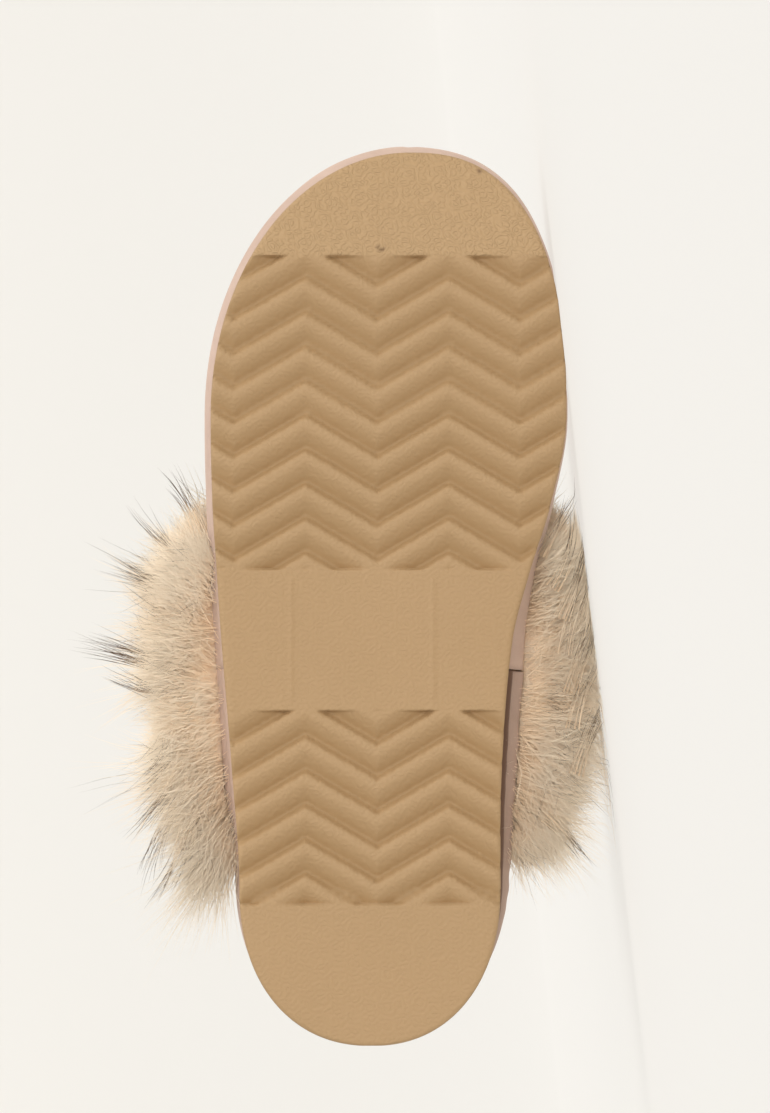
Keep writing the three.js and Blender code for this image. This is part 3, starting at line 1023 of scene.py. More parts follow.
@dataclass
class Outsole:
    """The moulded sole: flat toe, waist and heel, and two fields of zigzag ridges between them."""

    outline: SoleOutline
    pose: RestPose
    thickness: float = 12.0
    edge_round: float = 1.3
    pitch: float = 9.6
    depth: float = 2.8
    zigzag: float = 40.0
    rise: float = 11.7
    valley_y: float = 1.5
    wall_share: float = 0.2
    crest_end: float = 0.42
    slope_power: float = 1.25
    corner_round: float = 0.012
    crest_fray: float = 0.02
    scuff: tuple[float, float, float] = (223.6, 2.8, 1.3)
    speck: tuple[float, float, float] = (244.6, 30.2, 0.6)
    fields: tuple[tuple[float, float, float], ...] = ((133.0, 220.5, 213.3), (39.5, 93.5, 85.2))
    frame_lines: tuple[float, ...] = (-22.6, 17.0)
    frame_span: tuple[float, float] = (96.6, 130.4)
    frame_height: float = 0.32
    frame_width: float = 0.55
    end_wall: float = 0.25
    toe_grain: tuple[float, float] = (219.5, 222.0)
    plain_grain: float = 0.35
    wall_levels: tuple[float, ...] = (0.3, 0.7, 1.0)
    rows: tuple[int, int, int] = (50, 205, 112)
    closest_rows: float = 0.03
    columns: int = 150

    def groove_depth(self, x: Array, y: Array) -> Array:
        """How deep the tread is cut, from 0 to 1.

        The groove beds are a triangle wave across the foot. Going back from a bed, a steep wall rises to a
        flat crest, and a long slope, a power of its own share, sinks from the crest to the next bed. The
        fields end in straight walls.

        Args:
            x: Distance from the heel.
            y: Distance across.

        Returns:
            Share of the full depth.
        """
        swing = np.mod((y - self.valley_y) / (self.zigzag / 2), 2.0) - 1
        round_swing = np.sqrt(swing**2 + self.corner_round**2)
        climb = self.rise * (1 - round_swing)
        fray = self.crest_fray * soft_noise(np.stack([x, y, np.zeros_like(x)], -1), 1.9, 3)
        cut = np.zeros_like(x)
        for rear, front, first in self.fields:
            behind = np.mod((first + climb - x) / self.pitch + fray, 1.0)
            wall = 1 - ease(0.0, self.wall_share, behind)
            slope = np.clip((behind - self.crest_end) / (1 - self.crest_end), 0, 1) ** self.slope_power
            inside = ease(rear - self.end_wall, rear + self.end_wall, x)
            inside = inside * (1 - ease(front - self.end_wall, front + self.end_wall, x))
            cut = np.maximum(cut, inside * np.maximum(wall, slope))
        return cut

    def frame_rise(self, x: Array, y: Array) -> Array:
        """Height of the two plain raised lines of the waist panel: bell curves across, eased at the ends.

        Args:
            x: Distance from the heel.
            y: Distance across.

        Returns:
            Millimetres above the panel.
        """
        low, high = self.frame_span
        ends = ease(low - 0.6, low + 0.6, x) * (1 - ease(high - 0.6, high + 0.6, x))
        bells = sum(np.exp(-(((y - line) / self.frame_width) ** 2)) for line in self.frame_lines)
        return self.frame_height * ends * bells

    def marks(self, x: Array, y: Array) -> Array:
        """Two small wear marks at the toe: a comma, which is a third of a fine ring, and a speck.

        Args:
            x: Distance from the heel.
            y: Distance across.

        Returns:
            How dark the mark is, from 0 to 1.
        """
        along, across, radius = self.scuff
        off_ring = np.abs(np.hypot(x - along, y - across) - radius)
        comma = np.exp(-((off_ring / 0.4) ** 2)) * (x - along < 0.2 * radius) * (y < across + 0.6 * radius)
        place_x, place_y, size = self.speck
        speck = np.exp(-((np.hypot(x - place_x, y - place_y) / size) ** 2))
        return np.clip(0.8 * comma + speck, 0, 1)

    def stations(self) -> Array:
        """Rows of the grid: crowded at both round ends, even between, doubled at the fields' ends.

        Returns:
            Distances from the heel, rising.
        """
        o = self.outline
        heel_rows, middle_rows, toe_rows = self.rows
        heel = o.station(np.linspace(0.012, o.heel_share, heel_rows, endpoint=False))
        middle = np.linspace(o.heel_length, o.toe_start, middle_rows, endpoint=False)
        toe = o.station(np.linspace(o.toe_share, 0.99, toe_rows))
        ends = np.array([end for rear, front, _ in self.fields for end in (rear, front)])
        rows = np.sort(np.concatenate([heel, middle, toe, ends - self.end_wall, ends + self.end_wall]))
        return rows[np.concatenate([[True], np.diff(rows) > self.closest_rows])]

    def build(self, material: bpy.types.Material) -> None:
        """Makes the sole and its attributes.

        Args:
            material: The rubber.
        """
        o = self.outline
        station = self.stations()[:, None]
        share = np.linspace(0, 1, self.columns)[None, :]
        lateral = o.edge_y(Side.LATERAL, station)
        medial = o.edge_y(Side.MEDIAL, station)
        x = np.broadcast_to(station, (len(station), self.columns)).copy()
        y = lateral + (medial - lateral) * share
        slope_lateral = np.gradient(lateral[:, 0], station[:, 0])[:, None]
        slope_medial = np.gradient(medial[:, 0], station[:, 0])[:, None]
        inside = np.minimum(
            (y - lateral) / np.sqrt(1 + slope_lateral**2), (medial - y) / np.sqrt(1 + slope_medial**2)
        )
        inside = np.minimum(inside, np.minimum(x, o.length - x))
        from_edge = np.clip(1 - inside / self.edge_round, 0, 1)
        rounded = self.edge_round * (1 - np.sqrt(1 - from_edge**2))
        cut = self.groove_depth(x, y)
        hollow = np.maximum(self.depth * cut, rounded) - self.frame_rise(x, y)
        lift = o.toe_spring(x)
        slab = GridSlab(x, y)
        rim = slab.ring()
        rim_x = x.ravel()[rim]
        base = hollow.ravel()[rim]
        spring = o.toe_spring(rim_x)
        wall = [(0.0, spring + base + (self.thickness - base) * level) for level in self.wall_levels]
        points, faces = slab.build(hollow + lift, wall, faces_up=False)
        piece = make_object("outsole_tread", self.pose.to_row(points), faces)
        spare = np.zeros(len(points) - cut.size)
        set_attribute(piece, "depth", np.concatenate([cut.ravel(), spare]))
        set_attribute(piece, "mark", np.concatenate([self.marks(x, y).ravel(), spare]))
        flat = self.plain_grain + (1 - self.plain_grain) * ease(*self.toe_grain, x)
        set_attribute(piece, "grain", np.concatenate([(flat * (1 - cut)).ravel(), spare]))
        enlist(piece, material, Slot.OUTSOLE, "outsole")


@dataclass(frozen=True)
class Crease:
    """One flex crease: its distance from the heel, its slant across, its half width and its depth."""

    station: float
    slant: float
    width: float
    depth: float


@dataclass
class Vamp:
    """The suede upper: one wall from the sole's edge over the toes, open behind and below."""

    outline: SoleOutline
    pose: RestPose
    seat: float = 12.3
    wall_top: float = 28.0
    wall: float = 2.0
    wall_girth: float = 3 / 22
    swell_share: float = 0.4
    throat_side: float = 105.0
    throat_top: float = 128.0
    level_girth: float = 0.1
    ridge_from_toe: tuple[float, ...] = (0, 4, 14, 35, 62, 92, 150, 190)
    ridge_height: tuple[float, ...] = (28, 36.5, 44.5, 51.5, 58, 67.5, 88, 97)
    ridge_to_medial: float = 4.0
    arch_across: float = 2.5
    arch_up: float = 2.1
    flex: tuple[Crease, ...] = (
        Crease(172.0, 0.16, 4.2, 0.75),
        Crease(184.0, 0.1, 3.4, 0.55),
        Crease(160.0, 0.22, 5.0, 0.6),
        Crease(203.0, -0.05, 5.5, 0.45),
    )
    sag_height: float = 0.25
    sag_mm: float = 31.0
    rows: int = 92
    columns: int = 104

    def throat_station(self, girth: Array) -> Array:
        """The throat's edge: a sine to the power one and a half, from the sides forward to the top."""
        swing = np.sin(math.pi * np.clip(girth, 0, 1)) ** 1.5
        return self.throat_side + (self.throat_top - self.throat_side) * swing

    def edge_station(self, girth: Array) -> Array:
        """The suede's own edge, which stays level beside the platform before it runs up under the fur."""
        return self.throat_station((np.asarray(girth, float) - self.level_girth) / (1 - 2 * self.level_girth))

    def points(self, run: Array, girth: Array) -> Array:
        """The vamp's outer face.

        Up to the wall's top it is the outline grown by a quarter sine of the overhang, low on the wall. Above
        it is a superellipse arch from side to side whose crown follows the ridge's heights.

        Args:
            run: Runs from heel to toe.
            girth: 0 at the medial seat, over the arch, to 1 at the lateral seat.

        Returns:
            Points in shoe millimetres.
        """
        o = self.outline
        run, girth = np.broadcast_arrays(np.asarray(run, float), np.asarray(girth, float))
        height = np.minimum(girth, 1 - girth) / self.wall_girth
        swell = np.sin(np.clip(height / self.swell_share, 0, 1) * math.pi / 2)
        medial = o.edge(Side.MEDIAL, run, o.overhang(Side.MEDIAL, run) * swell)
        lateral = o.edge(Side.LATERAL, run, o.overhang(Side.LATERAL, run) * swell)
        wall_plan = np.where((girth < 0.5)[..., None], medial, lateral)
        wall_z = self.seat + (self.wall_top - self.seat) * np.clip(height, 0, 1)
        angle = np.clip((girth - self.wall_girth) / (1 - 2 * self.wall_girth), 0, 1) * math.pi
        cosine = np.cos(angle)
        across = (1 + np.sign(cosine) * np.abs(cosine) ** (2 / self.arch_across)) / 2
        up = np.abs(np.sin(angle)) ** (2 / self.arch_up)
        from_toe = o.length - o.station(run)
        rise = read_table(from_toe, self.ridge_from_toe, self.ridge_height) - self.wall_top
        arch_plan = lateral + (medial - lateral) * across[..., None]
        lean = self.ridge_to_medial * up * np.minimum(1, from_toe / 40)
        arch_plan = arch_plan + np.stack([np.zeros_like(lean), lean], -1)
        on_wall = height <= 1
        plan = np.where(on_wall[..., None], wall_plan, arch_plan)
        z = np.where(on_wall, wall_z, self.wall_top + rise * up)
        return np.concatenate([plan, (z + o.toe_spring(plan[..., 0]))[..., None]], -1)

    def normals(self, run: Array, girth: Array) -> Array:
        """Outward normals from small steps along and round the vamp, with one direction at the toe's tip.

        Args:
            run: Runs from heel to toe.
            girth: Places round the arch.

        Returns:
            Unit vectors.
        """
        run, girth = np.broadcast_arrays(np.asarray(run, float), np.asarray(girth, float))
        before = np.minimum(run, 0.998)
        along = self.points(before + 0.001, girth) - self.points(before - 0.001, girth)
        further = self.points(before, np.clip(girth + 0.004, 0, 1))
        nearer = self.points(before, np.clip(girth - 0.004, 0, 1))
        normal = unit(np.cross(further - nearer, along))
        return np.where((run > 0.999)[..., None], np.array([1.0, 0.0, 0.0]), normal)

    def creases(self, points: Array) -> Array:
        """Depth of the listed flex creases: bell-shaped valleys along slanting lines over the toes.

        Args:
            points: Places on the vamp.

        Returns:
            Millimetres to sink each place.
        """
        depth = np.zeros(points.shape[:-1])
        above = ease(34, 46, points[..., 2])
        for crease in self.flex:
            off = points[..., 0] - crease.station - crease.slant * points[..., 1]
            off = off - 1.5 * np.sin(points[..., 1] / 9)
            depth += crease.depth * np.exp(-((off / crease.width) ** 2)) * above
        return depth

    def build(self, material: bpy.types.Material) -> None:
        """Makes the wall from its two faces and rims.

        Args:
            material: The suede.
        """
        girth = np.linspace(0, 1, self.columns)[None, :]
        share = np.linspace(0, 1, self.rows)[:, None]
        throat = self.outline.run_of(self.edge_station(girth))
        run = throat + (1 - throat) * share
        normal = self.normals(run, girth)
        outer = self.points(run, girth)
        uneven = self.sag_height * soft_noise(outer, self.sag_mm, 4) * ease(14, 26, outer[..., 2])
        sag = self.creases(outer) + uneven
        outer = outer - normal * sag[..., None] * (share < 1)[..., None]
        inner = outer - normal * self.wall
        cells = self.rows * self.columns
        faces = grid_faces(self.rows, self.columns)
        number = np.arange(cells).reshape(self.rows, self.columns)
        rims = []
        for edge, flip in ((number[:, 0], False), (number[:, -1], True), (number[0], True)):
            rim = np.stack([edge[:-1], edge[1:], edge[1:] + cells, edge[:-1] + cells], -1)
            rims.append(rim[:, ::-1] if flip else rim)
        points = np.concatenate([outer.reshape(-1, 3), inner.reshape(-1, 3)])
        piece = make_object(
            "suede_vamp", self.pose.to_row(points), [faces, faces[:, ::-1] + cells, *rims], weld=True
        )
        enlist(piece, material, Slot.SUEDE, "upper")


@dataclass
class Platform:
    """The foam platform wrapped in suede: hidden inside the vamp in front, a rolled edge behind."""

    outline: SoleOutline
    pose: RestPose
    seat: float = 12.3
    wall_top: float = 28.0
    inside: float = 2.6
    seam_medial: tuple[float, float] = (104.8, 0.4)
    seam_lateral: tuple[float, float] = (106.6, 1.6)
    height: tuple[float, ...] = (0, 0.8, 2.0, 2.9, 3.8, 5.2, 6.8, 9, 10.6, 11.7)
    share: tuple[float, ...] = (0, 0.28, 0.42, 0.38, 0.74, 0.95, 1, 0.85, 0.5, 0)
    inset: tuple[float, ...] = (1.2, 0.3, 0, 0.4, 0.1, 0, 0, 0.4, 1.2, 2.6)
    pucker: float = 0.28
    # Share of the painted shade kept on the roll.
    roll_shade: float = 0.34
    levels: int = 28
    columns: int = 260

    def grow(self, side: Side, run: Array, level: float) -> Array:
        """How far the suede stands out: the roll behind the seam, the vamp's inside before it.

        Args:
            side: Which side.
            run: Runs from heel to toe.
            level: Height above the seat.

        Returns:
            Millimetres past the outline.
        """
        o = self.outline
        over = o.overhang(side, run)
        roll = over * np.interp(level, self.height, self.share) - np.interp(level, self.height, self.inset)
        swell = math.sin(min(1.0, level / (self.wall_top - self.seat)) * math.pi / 2)
        hidden = over * swell - self.inside
        station = o.station(run)
        seam, width = self.seam_medial if side is Side.MEDIAL else self.seam_lateral
        front = ease(seam - width, seam, station)
        wave = np.sin(station / 1.7 + 2.6 * np.sin(station / 6.1))
        pucker = self.pucker * wave * math.sin(level / 3.7) ** 2
        pucker = pucker * ease(2.0, 5.0, over)
        return (roll + pucker) * (1 - front) + hidden * front

    def build(self, material: bpy.types.Material) -> None:
        """Makes the platform from rings at rising levels.

        Args:
            material: The suede.
        """
        o = self.outline
        seams = (self.seam_medial, self.seam_lateral)
        ends = np.array([seam - back for seam, width in seams for back in (0, width)])
        run = np.sort(np.concatenate([np.linspace(0, 1, self.columns), o.run_of(ends)]))
        rings = []
        smooth = (1 - np.cos(np.linspace(0, math.pi, self.levels))) / 2 * self.height[-1]
        for level in smooth:
            medial = o.edge(Side.MEDIAL, run, self.grow(Side.MEDIAL, run, level))
            lateral = o.edge(Side.LATERAL, run[1:-1], self.grow(Side.LATERAL, run[1:-1], level))
            plan = np.concatenate([medial, lateral[::-1]])
            rings.append(np.column_stack([plan, self.seat + level + o.toe_spring(plan[:, 0])]))
        count = len(rings[0])
        half = len(run) - 1
        faces = tube_faces(self.levels, count)[:, [1, 0, 3, 2]]
        near = np.arange(1, half - 1)
        under = np.stack([near, near + 1, count - near - 1, count - near], -1)
        tips = np.array([[0, 1, count - 1], [half - 1, half, half + 1]])
        top = (self.levels - 1) * count
        caps = [under, tips, under[:, ::-1] + top, tips[:, ::-1] + top]
        piece = make_object("platform_wrap", self.pose.to_row(np.concatenate(rings)), [faces, *caps])
        # Painted shade, on the inner side only: the wall just above the outsole is darkened fully and the
        # roll partly, where they lie in shadow.
        inner_side = np.arange(count) <= half
        shaded = np.maximum(1 - ease(2.0, 3.6, smooth), self.roll_shade * (1 - ease(6.0, 9.0, smooth)))
        set_attribute(piece, "painted_shade", np.outer(shaded, inner_side).ravel())
        enlist(piece, material, Slot.SUEDE, "midsole")


@dataclass
class Insole:
    """The padded sock, with a short pile and a slight hollow under the heel."""

    outline: SoleOutline
    pose: RestPose
    bottom: float = 24.3
    thickness: float = 3.0
    rear_inset: float = 4.0
    inside: float = 2.6
    throat: float = 105.0
    edge_drop: float = 1.4
    edge_width: float = 2.2
    heel_hollow: float = 0.9
    heel_centre: float = 38.0
    heel_reach: tuple[float, float] = (30.0, 26.0)
    pile: float = 0.16
    columns: int = 80

    def build(self, material: bpy.types.Material) -> None:
        """Makes the sock as a slab with a gridded top.

        Args:
            material: The pile.
        """
        o = self.outline
        run = np.concatenate([np.linspace(0.012, 0.12, 22, endpoint=False), np.linspace(0.12, 0.985, 140)])
        blend = ease(self.throat - 4, self.throat + 6, o.station(run))
        sides = []
        for side in (Side.LATERAL, Side.MEDIAL):
            front = o.overhang(side, run) * 0.8 - self.inside
            sides.append(o.edge(side, run, -self.rear_inset * (1 - blend) + front * blend))
        share = np.linspace(0, 1, self.columns)[None, :, None]
        plan = sides[0][:, None] + (sides[1] - sides[0])[:, None] * share
        x, y = plan[..., 0], plan[..., 1]
        width = (sides[1] - sides[0])[:, 1][:, None]
        off_middle = np.abs(2 * share[..., 0] - 1)
        inside = np.minimum((1 - off_middle) * width / 2, np.minimum(x - x.min(), x.max() - x))
        round_off = self.edge_drop * (1 - np.sqrt(1 - np.clip(1 - inside / self.edge_width, 0, 1) ** 2))
        flat = np.stack([x, y, np.zeros_like(x)], -1)
        along, across = self.heel_reach
        hollow = self.heel_hollow * np.exp(-(((x - self.heel_centre) / along) ** 2) - ((y / across) ** 2))
        pile = self.pile * soft_noise(flat, 2.6, 11) + self.pile * soft_noise(flat, 4.7, 12)
        top = self.bottom + self.thickness - round_off - hollow + pile * ease(0, 3, inside)
        slab = GridSlab(x, y)
        rim = slab.ring()
        spring = o.toe_spring(x.ravel()[rim])
        rim_top = top.ravel()[rim] + spring
        rim_bottom = self.bottom + spring
        wall = [(0.0, (rim_top + rim_bottom) / 2), (0.0, rim_bottom)]
        points, faces = slab.build(top + o.toe_spring(x), wall, faces_up=True)
        piece = make_object("plush_sock", self.pose.to_row(points), faces)
        enlist(piece, material, Slot.LINING, "insole")


@dataclass(frozen=True)
class HairStyle:
    """How hairs are drawn: width, rings along them, gathering toward the lock's axis, and their own swing."""

    width: float
    rings: int
    gather: float
    stray: float


# Fur hair is about 0.05 mm thick, too fine to show, so fewer and thicker hairs are drawn.
FINE_DOWN = HairStyle(width=0.17, rings=2, gather=0.1, stray=0.28)
FULL_DOWN = HairStyle(width=0.22, rings=2, gather=0.1, stray=0.28)
LINING_DOWN = HairStyle(width=0.2, rings=2, gather=0.1, stray=0.28)
LOCK_HAIR = HairStyle(width=0.17, rings=3, gather=0.45, stray=0.2)
WISP_HAIR = HairStyle(width=0.14, rings=4, gather=0.3, stray=0.22)
TUFT_HAIR = HairStyle(width=0.24, rings=5, gather=0.5, stray=0.08)


@dataclass(frozen=True)
class FurLayer:
    """One layer of hair: how it is drawn, how many locks and hairs, how they lie, and where they grow.

    The girths say how far round the throat it reaches, and the section how far round the band's section,
    counted in corners.
    """

    name: str
    style: HairStyle
    locks: int
    hairs: int
    lengths: tuple[float, float]
    lock_radius: float
    ruffle: float
    girths: tuple[float, float]
    section: tuple[float, float]
    seed: int
    dark_share: float = 0.0
    place: FurPlace = FurPlace.BAND


@dataclass(frozen=True)
class Tuft:
    """One long dark-tipped lock at the fur's edge: its root and tip across the foot, and its height."""

    root: tuple[float, float]
    tip: tuple[float, float]
    height: float
    hairs: int
    radius: float


@dataclass
class LockSet:
    """Arrays for a set of locks: roots, unit directions, bends as shares of the length, lengths, and faces.

    The last is the way that the fur's soft body faces at each lock, which its hairs are shaded by.
    """

    root: Array
    direction: Array
    bend: Array
    length: Array
    facing: Array


@dataclass
class FurCuff:
    """The fur band round the throat: a soft core and layers of hair gathered into locks."""

    vamp: Vamp
    pose: RestPose
    medial_end: float = 0.072
    lateral_end: float = 0.955
    end_fan: float = 0.8
    body_shading: float = 0.94
    sole_facing: float = 1.8
    rear_facing: float = 0.5
    clump: float = 15.0
    tone_clump: float = 8.0
    clump_swirl: float = 0.7
    clump_length: float = 0.3
    front_share: float = 0.42
    dip_station: float = 93.0
    dip_width: float = 8.0
    dip_share: float = 0.4
    root_depth: float = 0.8
    lump: float = 11.0
    lump_share: float = 0.12
    tread_gap: float = 6.0
    crest: float = 60.0
    press: float = 0.75
    floor_gap: float = 0.4
    floor_spread: float = 0.9
    core_points: int = 50
    core_rings: int = 80
    section_along: tuple[float, ...] = (-24, -30, -26, -14, 6, 30, 46, 52, 40, 4)
    section_out: tuple[float, ...] = (-0.5, 4.5, 9, 12.5, 14, 13.5, 9.5, 4.2, 0.6, -0.5)
    depth_girth: tuple[float, ...] = (0.03, 0.14, 0.3, 0.5, 0.75, 0.88, 0.97)
    depth_share: tuple[float, ...] = (0.95, 1.1, 1.3, 1.35, 1.3, 1.0, 0.9)
    # In a row: name, style, locks, hairs in a lock, lengths, lock radius, ruffle, girths, section, seed and
    # the share of dark locks.
    layers: tuple[FurLayer, ...] = (
        FurLayer("fur_down_inner", FINE_DOWN, 560, 22, (8, 15), 5.5, 0.3, (0.072, 0.28), (0.2, 7.3), 21),
        FurLayer("fur_down_instep", FULL_DOWN, 700, 24, (10, 18), 7.0, 0.3, (0.24, 0.76), (0.2, 7.3), 22),
        FurLayer("fur_down_outer", FINE_DOWN, 560, 22, (8, 15), 5.5, 0.3, (0.72, 0.955), (0.2, 7.3), 23),
        FurLayer("fur_lining", LINING_DOWN, 400, 18, (6, 11), 5.0, 0.3, (0.09, 0.93), (7.3, 9.1), 24),
        FurLayer(
            "fur_down_ends", FINE_DOWN, 560, 22, (8, 21), 5.0, 0.3, (0.072, 0.955), (0.3, 7.2), 27,
            dark_share=0.05, place=FurPlace.ENDS,
        ),
        FurLayer("fur_locks", LOCK_HAIR, 420, 13, (13, 20), 3.4, 0.42, (0.09, 0.93), (0.8, 7.0), 25, 0.04),
        FurLayer("fur_wisps", WISP_HAIR, 520, 4, (16, 23), 2.5, 0.36, (0.09, 0.93), (1.0, 6.8), 26, 0.32),
    )
    # In a row: root and tip, each from the heel and across, then height above the tread, hairs and radius.
    tufts: tuple[Tuft, ...] = (
        Tuft((142, -47), (161, -57), 24, 20, 3.2),
        Tuft((133, -47), (151, -66), 25, 14, 3.0),
        Tuft((122, -50), (137, -78), 26, 26, 3.2),
        Tuft((115, -50), (127, -70), 22, 12, 3.0),
        Tuft((101, -50), (114, -83), 25, 44, 3.4),
        Tuft((96, -50), (105, -75), 20, 18, 3.0),
        Tuft((88, -53), (71, -67), 15, 16, 3.0),
        Tuft((79, -53), (58, -67), 14, 20, 3.0),
        Tuft((69, -52), (45, -64), 15, 24, 3.0),
        Tuft((60, -51), (38, -61), 14, 16, 3.0),
        Tuft((137, 48), (157, 58), 13, 8, 2.6),
        Tuft((128, 51), (150, 59), 12, 9, 2.6),
        Tuft((119, 54), (141, 61), 11, 12, 2.6),
        Tuft((109, 55), (131, 62), 11, 7, 2.6),
        Tuft((98, 56), (120, 64), 12, 12, 2.6),
        Tuft((88, 57), (108, 65), 11, 8, 2.6),
        Tuft((75, 58), (96, 67), 12, 12, 2.6),
        Tuft((64, 50), (50, 62), 14, 12, 2.8),
    )
    tuft_seed: int = 31

    def frames(self, girth: Array, along: Array) -> tuple[Array, Array, Array, Array]:
        """Where the fur is sewn, and its directions there.

        Args:
            girth: Place round the throat.
            along: Distance behind the throat's edge.

        Returns:
            Points of the vamp's face, and the outward, rearward and round-the-throat directions.
        """
        run = self.vamp.outline.run_of(self.vamp.throat_station(girth) - along)
        point = self.vamp.points(run, girth)
        outward = self.vamp.normals(run, girth)
        rearward = unit(self.vamp.points(run - 0.002, girth) - self.vamp.points(run + 0.002, girth))
        return point, outward, rearward, np.cross(outward, rearward)

    def section_at(self, place: Array) -> tuple[Array, Array]:
        """Reads the core's section, a closed loop of straight spans.

        Args:
            place: Places in the loop, counted in corners.

        Returns:
            Distance along behind the throat's edge, and distance out.
        """
        knots = np.arange(len(self.section_along) + 1)
        turned = np.mod(place, len(self.section_along))
        along = np.interp(turned, knots, [*self.section_along, self.section_along[0]])
        out = np.interp(turned, knots, [*self.section_out, self.section_out[0]])
        return along, out

    def build_core(self, material: bpy.types.Material) -> None:
        """Makes the soft core: the section carried round the throat, with lumps, closed at both ends.

        Args:
            material: The fur's undercoat.
        """
        count, rings = self.core_points, self.core_rings
        along, out = self.section_at(np.linspace(0, len(self.section_along), count, endpoint=False))
        girth = np.linspace(self.medial_end, self.lateral_end, rings)[:, None]
        girth, along, out = np.broadcast_arrays(girth, along[None], out[None])
        point, outward, _, _ = self.frames(girth, along)
        depth = read_table(girth, self.depth_girth, self.depth_share)
        lumps = 1 + self.lump_share * soft_noise(point, self.lump, 5) * ease(1.5, 5, out)
        points = (point + outward * (out * depth * lumps)[..., None]).reshape(-1, 3)
        start = np.arange(count)[None]
        end = (np.arange(count)[::-1] + (rings - 1) * count)[None]
        faces = [tube_faces(rings, count)[:, ::-1], start, end]
        piece = make_object("fur_core", self.pose.to_row(points), faces)
        enlist(piece, material, Slot.FUR, "fur_cuff")

    def layer_locks(self, layer: FurLayer, rng: np.random.Generator) -> LockSet:
        """Roots and directions of a layer's locks.

        The locks are spread evenly over the core by a golden-ratio sequence. Each stands square to the
        core's section, fans down at the band's two ends, and is ruffled by its own random turn.

        Args:
            layer: The layer.
            rng: Its seeded numbers.

        Returns:
            The locks.
        """
        n = layer.locks
        low, high = layer.girths
        girth = low + (high - low) * (np.arange(n) + rng.uniform(0, 1, n)) / n
        girth = np.clip(girth, self.medial_end, self.lateral_end)
        fine = np.linspace(layer.section[0], layer.section[1], 400)
        along, out = self.section_at(fine)
        walked = np.concatenate([[0], np.cumsum(np.hypot(np.diff(along), np.diff(out)))])
        spread = np.mod(np.arange(n) * GOLDEN_SHARE + rng.uniform(0, 0.05, n), 1.0)
        place = np.interp(spread * walked[-1], walked, fine)
        along, out = self.section_at(place)
        before, after = self.section_at(place - 0.6), self.section_at(place + 0.6)
        lean = unit(np.stack([-(after[1] - before[1]), after[0] - before[0]], -1))
        point, outward, rearward, around = self.frames(girth, along)
        depth = read_table(girth, self.depth_girth, self.depth_share)
        root = point + outward * (out * depth - self.root_depth)[:, None]
        fan = self.end_fan * (ease(0.85, self.lateral_end, girth) - (1 - ease(self.medial_end, 0.18, girth)))
        facing = unit(rearward * lean[:, :1] + outward * lean[:, 1:] + around * fan[:, None])
        toward_sole = self.sole_facing * (1 - ease(0.12, 0.4, girth) * (1 - ease(0.7, 0.9, girth)))
        toward_sole = toward_sole * (1 - self.rear_facing * ease(0.1, 0.8, lean[:, 0]))
        swirl = np.stack([soft_noise(root, self.clump, seed) for seed in (41, 42, 43)], -1)
        direction = unit(facing + self.clump_swirl * swirl + steady(rng, layer.ruffle, (n, 3)))
        bend = steady(rng, 0.3, (n, 3))
        length = rng.uniform(*layer.lengths, n) * self.length_share(root, place)
        facing = unit(facing - toward_sole[:, None] * np.array([0.0, 0.0, 1.0]))
        return LockSet(root, direction, bend, length, facing)

    def length_share(self, root: Array, place: Array) -> Array:
        """How long hair grows: shorter toward the front, and in a dip at the outer side between two lobes.

        Args:
            root: The locks' roots.
            place: Their places in the section, counted in corners from the front.

        Returns:
            Shares of the layer's own length.
        """
        front = self.front_share + (1 - self.front_share) * ease(0.8, 4.2, place)
        front = front * (1 + self.clump_length * soft_noise(root, self.clump * 0.8, 44))
        from_dip = (root[:, 0] - self.dip_station) / self.dip_width
        dip = np.exp(-(from_dip**2)) * (1 - ease(-46, -34, root[:, 1]))
        return front * (1 - self.dip_share * dip)

    def end_locks(self, layer: FurLayer, rng: np.random.Generator) -> LockSet:
        """Roots and directions of the locks on the band's two ends.

        The roots fill the core's cut faces. The locks lie outward over them, fan to the front and rear by
        their place along the band, and tip a little toward the sole. The longest grow at the inner edge.

        Args:
            layer: The layer.
            rng: Its seeded numbers.

        Returns:
            The locks.
        """
        n = layer.locks
        inner_side = np.arange(n) % 2 == 0
        girth = np.where(inner_side, layer.girths[0], layer.girths[1]).astype(float)
        along, rim = self.section_at(rng.uniform(layer.section[0], layer.section[1], n))
        height = rng.uniform(0, 1, n)
        point, outward, rearward, around = self.frames(girth, along)
        depth = read_table(girth, self.depth_girth, self.depth_share)
        root = point + outward * (0.2 + (rim * depth - 0.2) * height)[:, None]
        down = (np.where(inner_side, -1.0, 1.0) * rng.uniform(0.15, 0.55, n))[:, None]
        lean = ((along - 8) / 40)[:, None]
        direction = unit(outward + around * down + rearward * lean + steady(rng, layer.ruffle, (n, 3)))
        shortest, longest = layer.lengths
        length = longest + (shortest - longest) * height * rng.uniform(0.7, 1.1, n)
        length = length * (0.65 + 0.35 * ease(-28, 4, along))
        length = length * self.length_share(root, np.full(n, 5.0))
        to_rear = rearward * self.rear_facing * np.maximum(lean, 0)
        facing = unit(outward * 0.2 + around * np.sign(down) + to_rear)
        return LockSet(root, direction, steady(rng, 0.16, (n, 3)), length, facing)

    def build_layer(self, layer: FurLayer, material: bpy.types.Material) -> None:
        """Makes one layer of evenly spread locks.

        Args:
            layer: The layer.
            material: The fur's fibre.
        """
        rng = np.random.default_rng(layer.seed)
        locks = self.end_locks(layer, rng) if layer.place is FurPlace.ENDS else self.layer_locks(layer, rng)
        lock = np.repeat(np.arange(layer.locks), layer.hairs)
        radius = np.full(len(lock), layer.lock_radius)
        dark = (rng.uniform(0, 1, layer.locks) < layer.dark_share)[lock] * rng.uniform(0.5, 1.0, len(lock))
        self.grow_hairs(layer.name, locks, lock, radius, dark, layer.style, rng, material)

